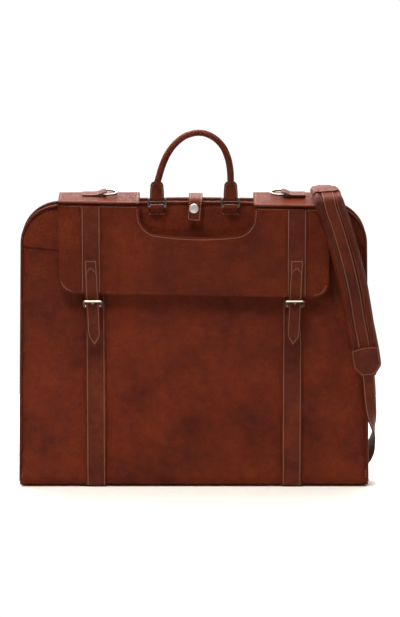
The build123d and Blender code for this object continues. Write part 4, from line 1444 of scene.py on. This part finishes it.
# ---------------------------------------------------------------- D-rings
@dataclass
class DRings:
    """The chapes that hold the D-rings on top of the flap."""

    bench: Bench
    bar_x: float = 0.152
    bar_y: float = 0.002
    slope: float = 0.1235
    length: float = 0.038
    width: float = 0.025
    skin: float = 0.0014

    def build(self) -> None:
        """Makes the chapes and dresses the rings."""
        for side, name in SIDES:
            low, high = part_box("d_ring_" + name)
            bar_z = (low[2] + high[2]) / 2
            turn = 0.0024
            upper = [((self.length, -0.0024), (0, 1)), ((0.022, -0.0024), (0, 1)),
                     ((0.0125, -0.0020), (0, 1)), ((0.0060, 0.0006), (0.45, 1))]
            loop = [((turn * sin(t), turn * cos(t)), (sin(t), cos(t))) for t in (0.25, -0.6, -1.5, -2.4)]
            lower = [((0.0040, -0.0028), (0, -1)), ((0.015, -0.0029), (0, -1)),
                     ((self.length, -0.0029), (0, -1))]
            stations = [(Vector((side * (self.bar_x + out), self.bar_y, bar_z + up)),
                         Vector((side * nx, 0.0, nz)))
                        for (out, up), (nx, nz) in upper + loop + lower]
            route = Route(stations, 5)
            outline = box_outline(self.width, 0.0, route.length, (0.003,) * 4)
            place = self.leaning(route)
            chape = self.bench.leather("d_ring_chape_hide_" + name, outline, self.skin, (0.0125, 0.002),
                                       place,
                                       Finish.STRAP, rounding=0.0005)
            if name == "left":
                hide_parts("d_ring_chapes")
            inner = self.width / 2 - 0.0025
            line = [(-inner, 0.026), (-inner, 0.0028), (inner, 0.0028), (inner, 0.026), (-inner, 0.026)]
            seams = self.bench.sew("d_ring_chape_seams_" + name, [(line, self.skin)], place, "leather_strap",
                                   pitch=FINE_PITCH, thread=FINE_THREAD)
            ride("flap_top", chape, seams)
        self.bench.keep(Finish.NICKEL, "d_ring_left", "d_ring_right")

    def leaning(self, route: Route) -> Place:
        """A placing that follows the roof's gentle fall towards the front."""
        def place(a: float, b: float, depth: float) -> Vector:
            """A point of a chape."""
            spot = route.place(a, b, depth)
            return spot + Vector((0.0, 0.0, self.slope * (spot.y - self.bar_y)))
        return place


# ---------------------------------------------------------------- shoulder strap
STRAP_ROUTE = (  # millimetres: a point on the strap's inner face, and which way its outer face looks
    ((214.0, 30.2, 340.0), (0, 1, 0)), ((215.0, 30.2, 420.0), (0, 1, 0)), ((217.5, 30.4, 501.0), (0, 1, 0.1)),
    ((219.0, 27.5, 509.5), (0, 0.7, 0.7)), ((220.5, 17.0, 515.0), (0, 0.1, 1)),
    ((221.5, 6.0, 515.5), (0, 0, 1)),
    ((223.5, -12.0, 514.5), (0, -0.2, 1)), ((226.0, -30.0, 510.5), (0, -0.5, 0.85)),
    ((228.5, -48.2, 502.0), (0, -0.9, 0.4)), ((233.0, -51.0, 484.0), (0, -1, 0)),
    ((243.0, -51.0, 456.0), (0, -1, 0)), ((259.0, -50.0, 402.0), (0, -1, 0)),
    ((272.0, -48.0, 348.0), (0, -1, 0)),
    ((282.0, -45.5, 290.0), (0, -1, 0)), ((291.0, -42.0, 246.0), (0, -1, 0)),
    ((296.5, -40.0, 210.0), (0, -1, 0)),
    ((299.0, -38.0, 186.0), (0.1, -1, 0)), ((302.5, -34.0, 139.0), (0.45, -1, 0)),
    ((307.0, -22.0, 112.0), (1, -0.6, 0)), ((309.5, -6.0, 94.0), (1, 0, 0)),
    ((308.0, 14.0, 74.0), (1, 0.2, 0.2)),
    ((303.0, 31.0, 50.0), (0.8, 0.6, 0.4)), ((290.0, 41.0, 26.0), (0.4, 0.3, 0.9)),
    ((268.0, 45.0, 8.0), (0.2, 0, 1)), ((236.0, 46.0, 1.0), (0, 0, 1)), ((170.0, 46.0, 1.0), (0, 0, 1)),
)


@dataclass
class ShoulderStrap:
    """The loose shoulder strap: pad, strap, caps, adjuster and hooks."""

    bench: Bench
    width: float = 0.0215
    skin: float = 0.0026
    pad_width: float = 0.049
    pad_skin: float = 0.0088
    pad_from: int = 5
    pad_to: int = 15

    def build(self) -> None:
        """Makes the strap and dresses its metal."""
        self.route = Route([(Vector(p) * MM, Vector(n)) for p, n in STRAP_ROUTE], 6)
        self.start, self.end = self.route.marks[self.pad_from], self.route.marks[self.pad_to]
        self.pad()
        self.strap()
        self.caps()
        self.bench.keep(Finish.NICKEL, "strap_slider", "hook_swivel_upper", "hook_swivel_lower",
                        "hook_body_upper",
                        "hook_body_lower", "hook_gate_upper", "hook_gate_lower")

    def puff(self, a: float, b: float) -> float:
        """Height of the pad's upper face over the strap's inner face.

        Args:
            a: Distance from the pad's middle.
            b: Distance along the route.

        Returns:
            The height, below zero under the strap and above it in the two puffed sides.
        """
        inner, outer = 0.0118, self.pad_width / 2
        share = (abs(a) - inner) / (outer - inner)
        if share <= 0.0:
            return -0.0003
        ends = ease(b - self.start, 0.0, 0.030) * ease(self.end - b, 0.0, 0.030)
        rise = 0.0012 + 0.0026 * ends
        dome = sin(pi * share)**0.6 if share < 0.5 else sqrt(max(1 - (2 * share - 1)**2.6, 0.0))
        crease = ripple(0.35 * a, b, 0.0, 0.0042, 3.0) * 0.00055 + ripple(a, b, 0.0, 0.011, 5.0) * 0.0008
        fall = 0.0048 * ease(share, 0.55, 1.0)
        return -0.0006 + rise * dome + crease * dome * ends - fall

    def pad(self) -> None:
        """The quilted pad: a channel for the strap between two puffed sides."""
        start, end, half = self.start, self.end, self.pad_width / 2

        def place(share: float, turn: float) -> Vector:
            """A point on the pad's skin: over the top from right to left, then back underneath."""
            b = start + (end - start) * share
            side = cos(2 * pi * turn)
            a = half * (abs(side)**0.85) * (1 if side > 0 else -1)
            tuck = ease(min(share, 1 - share) * (end - start), 0.0, 0.012)
            if turn <= 0.5:
                depth = self.puff(a, b)
            else:
                round_off = ease(abs(a), half - 0.006, half)
                edge = -0.0054 + 0.0006 * ripple(a, b, 0.0, 0.009, 7.0)
                depth = -self.pad_skin + (self.pad_skin + edge) * round_off**1.6
                depth += 0.0004 * ripple(a, b, 1.0, 0.012, 4.0)
            wide = a * (0.95 + 0.05 * tuck) * (1 + 0.010 * ripple(b, 0.0, 0.2 * side, 0.016, 8.0))
            return self.route.place(wide, b, depth * (0.75 + 0.25 * tuck))

        pad = self.bench.rolled("shoulder_pad_hide", 260, 72, place, Finish.PAD, "leather")
        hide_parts("shoulder_pad")
        rows = [([(s * 0.0128, start + 0.004), (s * 0.0128, end - 0.004)], 0.0004) for s in (-1, 1)]
        seams = self.bench.sew("shoulder_pad_seams", rows, self.route.place, "leather", pitch=0.0040,
                               thread=0.00055)
        ride("shoulder_strap", pad, seams)

    def strap(self) -> None:
        """The strap itself, one length from hook to hook, sewn down along the pad."""
        half, length = self.width / 2, self.route.length
        outline = oblong(-half, half, 0.0, length)
        strap = self.bench.leather("shoulder_strap_hide", outline, self.skin, (0.0108, 0.0035),
                                   self.route.place,
                                   Finish.STRAP)
        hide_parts("shoulder_strap")
        inner = half - 0.0022
        runs = [([(s * inner, 0.004), (s * inner, length - 0.004)], self.skin) for s in (-1, 1)]
        seams = self.bench.sew("shoulder_strap_seams", runs, self.route.place, "leather_strap", pitch=0.0040,
                               thread=FINE_THREAD)
        ride("shoulder_strap", strap, seams)
        loops = []
        for name, b in (("upper", 0.0), ("lower", length)):
            low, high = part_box("hook_swivel_" + name)
            point, across, normal = self.route.at(b)
            centre = Vector((high[0] - 0.0017, point.y, (low[2] + high[2]) / 2))
            if name == "upper":
                centre = Vector((point.x, point.y + 0.0015, high[2] - 0.0017))
            tangent = across.cross(normal)
            angles = [2 * pi * k / 20 for k in range(21)]
            spots = [centre + (normal * cos(t) + tangent * sin(t)) * 0.0030 for t in angles]

            def place(share: float, turn: float, spots: list[Vector] = spots, centre: Vector = centre,
                      across: Vector = across) -> Vector:
                """A point of the strap's turned end."""
                spot = spots[int(round(share * 20)) % 20]
                out = (spot - centre).normalized()
                angle = 2 * pi * turn
                return spot + out * (0.0011 + 0.0009 * sin(angle)) + across * half * 0.98 * cos(angle)

            loops.append(self.bench.rolled("strap_turn_" + name, 20, 12, place, Finish.STRAP, "leather_strap",
                                           capped=False))
        ride("shoulder_strap", *loops)

    def caps(self) -> None:
        """The leather caps over the pad's ends."""
        for name, first, last, taper in (("upper", self.start - 0.002, self.route.marks[7], False),
                                         ("lower", self.route.marks[14], self.end + 0.012, True)):
            length = last - first

            def half_width(b: float, taper: bool = taper, length: float = length) -> float:
                """Half the cap's width at a distance along it."""
                share = ease(b, length * 0.62, length) if taper else 0.0
                return 0.0245 * (1 - share) + 0.0128 * share

            right = [(half_width(length * k / 12), length * k / 12) for k in range(13)]
            bow = [(x * 0.0235, -0.0035 * (1 - x * x)) for x in (-0.8, -0.5, 0.0, 0.5, 0.8)] if taper else []
            outline = [*bow, *right, *[(-a, b) for a, b in right[::-1]]]
            if not taper:
                outline = box_outline(0.049, 0.0, length, (0.006, 0.006, 0.003, 0.003))

            def place(a: float, b: float, depth: float, first: float = first, taper: bool = taper) -> Vector:
                """A point of a cap, which turns down over the pad's sides."""
                over = self.skin + 0.0001
                beside = max(self.puff(a, first + b) + 0.0004, -0.004)
                share = ease(abs(a), 0.0108, 0.0150)
                end = ease(b, length * 0.55, length * 0.9) if taper else 0.0
                rest = over + (beside - over) * share * (1 - end)
                return self.route.place(a, first + b, rest + depth)

            cap = self.bench.leather("pad_cap_hide_" + name, outline, 0.0016, (0.004, 0.004), place,
                                     Finish.STRAP)
            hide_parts("pad_cap_" + name)
            runs = [(hem_line(outline, 0.0030), 0.0017)]
            seams = self.bench.sew("pad_cap_seams_" + name, runs, place, "leather_strap", pitch=0.0038,
                                   thread=FINE_THREAD)
            ride("shoulder_strap", cap, seams)


# ---------------------------------------------------------------- inside
@dataclass
class Inside:
    """The zip, hanger clamp, garment strap and pocket."""

    bench: Bench

    def build(self) -> None:
        """Dresses the inner fittings."""
        self.bench.keep(Finish.BRASS, "zip_teeth", "zip_slider", "zip_pull")
        self.bench.keep(Finish.NICKEL, "hanger_clamp_base", "hanger_clamp_pin", "hanger_clamp_lever")
        self.tapes()
        self.soft_sheet("garment_strap", Finish.WEBBING, 0.0016, 1.0)
        self.soft_sheet("inner_pocket", Finish.LINING, 0.0030, -1.0)

    def tapes(self) -> None:
        """The zip's woven tape, one strip on each side of the teeth."""
        low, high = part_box("zip_tape")
        teeth_low, teeth_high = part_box("zip_teeth")
        for name, left, right in (("left", low.x, teeth_low.x), ("right", teeth_high.x, high.x)):
            outline = box_outline(right - left, low.z, high.z, (0.001,) * 4)
            middle = (left + right) / 2

            def place(a: float, b: float, depth: float, middle: float = middle) -> Vector:
                """A point of the tape, a little uneven where it was sewn."""
                sway = 0.0002 * ripple(a, 0.0, b, 0.02, middle)
                return Vector((middle + a, high.y - depth, b)) - Vector((0.0, abs(sway), 0.0))

            tape = self.bench.leather("zip_tape_" + name, outline, high.y - low.y, (0.005, 0.004), place,
                                      Finish.WEBBING, rounding=0.0002)
            if name == "left":
                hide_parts("zip_tape")
            runs = [([(0.0, low.z + 0.004), (0.0, high.z - 0.004)], high.y - low.y)]
            seam = self.bench.sew("zip_tape_seam_" + name, runs, place, "lining", pitch=0.0030,
                                  thread=0.00025)
            ride("bag", tape, seam)

    def soft_sheet(self, node: str, finish: Finish, wave: float, way: float) -> None:
        """A flat soft piece on an inner wall, sewn round its edge and loose in its middle.

        Args:
            node: The CAD node that it stands for.
            finish: Its finish.
            wave: How far its middle stands off the wall.
            way: 1 when its seen face looks to the front, -1 when it looks to the back.
        """
        low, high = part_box(node)
        wall = high.y if way > 0 else low.y
        thick = high.y - low.y
        half, tall = (high.x - low.x) / 2, high.z - low.z
        outline = box_outline(2 * half, 0.0, tall, (0.004,) * 4)

        def place(a: float, b: float, depth: float) -> Vector:
            """A point of the sheet, slack away from its sewn edges."""
            edge = min(half - abs(a), b, tall - b)
            slack = wave * ease(edge, 0.003, 0.02) * (0.5 + 0.5 * ripple(a, 0.0, b, 0.07, half))
            return Vector((a * way, wall - way * (depth + max(slack, 0.0)), low.z + b))

        sheet = self.bench.leather(node + "_cloth", outline, thick, (0.010, 0.006), place, finish,
                                   rounding=0.0005)
        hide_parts(node)
        runs = [(hem_line(outline, 0.003), thick)]
        ride("bag", sheet, self.bench.sew(node + "_seams", runs, place, finish.slot, pitch=0.0045))


# ---------------------------------------------------------------- studio
@dataclass
class Studio:
    """Floor, soft lights and the camera."""

    distance: float = 6.0
    elevation: float = 10.0
    frame_height: float = 1.0530
    target: tuple[float, float, float] = (0.0105, 0.0, 0.3072)

    def build(self) -> None:
        """Sets the stage."""
        self.floor()
        self.light("top_light", (0.0, 0.1, 1.95), (2.4, 2.0), 60.0, (0.0, 0.1, 0.0), (1.0, 0.95, 0.88))
        self.light("rim_light", (-0.5, 1.45, 1.72), (2.0, 1.2), 60.0, (0.0, 0.0, 0.5), (1.0, 0.97, 0.94))
        self.light("key_light", (-0.50, -0.85, 2.25), (0.7, 0.4), 30.0, (0.0, 0.0, 0.30))
        self.light("fill_light", (-0.6, -2.4, 0.9), (1.2, 1.2), 2.0, (0.0, 0.0, 0.25))
        world = bpy.data.worlds.new("studio")
        world.use_nodes = True
        tree = Tree(world.node_tree)
        way = tree.add("ShaderNodeTexCoord").outputs["Generated"]
        behind = tree.add("ShaderNodeSeparateXYZ", {0: way}).outputs["Y"]
        backdrop = world.node_tree.nodes["Background"]
        backdrop.inputs["Color"].default_value = (1.0, 1.0, 1.0, 1.0)
        tree.feed(backdrop, {"Strength": tree.span(behind, 0.2, 0.75, 0.05, 1.05)})
        bpy.context.scene.world = world
        bpy.context.scene.view_settings.view_transform = "Standard"
        self.camera()

    def floor(self) -> None:
        """A round pale floor."""
        made = bmesh.new()
        bmesh.ops.create_circle(made, cap_ends=True, segments=96, radius=0.85)
        mesh = bpy.data.meshes.new("floor")
        made.to_mesh(mesh)
        made.free()
        material, tree, shader, place = start_material("pale_floor", (0.9, 0.9, 0.9))
        grit = tree.add("ShaderNodeTexNoise", {"Vector": place, "Scale": 3.0, "Detail": 3.0})
        share = tree.span(grit.outputs["Fac"], 0.3, 0.7)
        shade = tree.blend(share, opaque((0.93, 0.93, 0.93)), opaque((0.95, 0.95, 0.95)))
        tree.feed(shader, {"Base Color": shade})
        shader.inputs["Roughness"].default_value = 0.8
        mesh.materials.append(material)
        floor = bpy.data.objects.new("floor", mesh)
        bpy.context.scene.collection.objects.link(floor)

    def light(self, name: str, spot: tuple[float, float, float], size: Flat, power: float,
              aim: tuple[float, float, float], tint: Colour = (1.0, 0.90, 0.78)) -> None:
        """Hangs a soft light.

        Args:
            name: Its name.
            spot: Where it is.
            size: Its width and height.
            power: Its power in watts.
            aim: What it points at.
            tint: Its colour.
        """
        lamp = bpy.data.lights.new(name, "AREA")
        lamp.color = tint
        lamp.shape, lamp.size, lamp.size_y, lamp.energy = "RECTANGLE", size[0], size[1], power
        holder = bpy.data.objects.new(name, lamp)
        holder.location = spot
        holder.rotation_euler = (Vector(aim) - Vector(spot)).to_track_quat("-Z", "Y").to_euler()
        bpy.context.scene.collection.objects.link(holder)

    def camera(self) -> None:
        """Stands the camera in front, a little above."""
        lens = bpy.data.cameras.new("camera")
        lens.sensor_width = 36.0
        lens.lens = lens.sensor_width * (self.distance - 0.025) / self.frame_height
        holder = bpy.data.objects.new("camera", lens)
        rise = radians(self.elevation)
        aim = Vector(self.target)
        holder.location = aim + Vector((0.0, -cos(rise), sin(rise))) * self.distance
        holder.rotation_euler = (aim - holder.location).to_track_quat("-Z", "Y").to_euler()
        bpy.context.scene.collection.objects.link(holder)
        bpy.context.scene.camera = holder


def main() -> None:
    """Builds the whole bag and its studio."""
    logging.basicConfig(level=logging.INFO, format="%(name)s %(message)s")
    Studio().build()
    bench = Bench()
    for assembly in (Body, Flap, Closures, Handle, HangerTab, DRings, ShoulderStrap, Inside):
        LOG.info("building %s", assembly.__name__)
        assembly(bench).build()


if __name__ == "__main__":
    main()
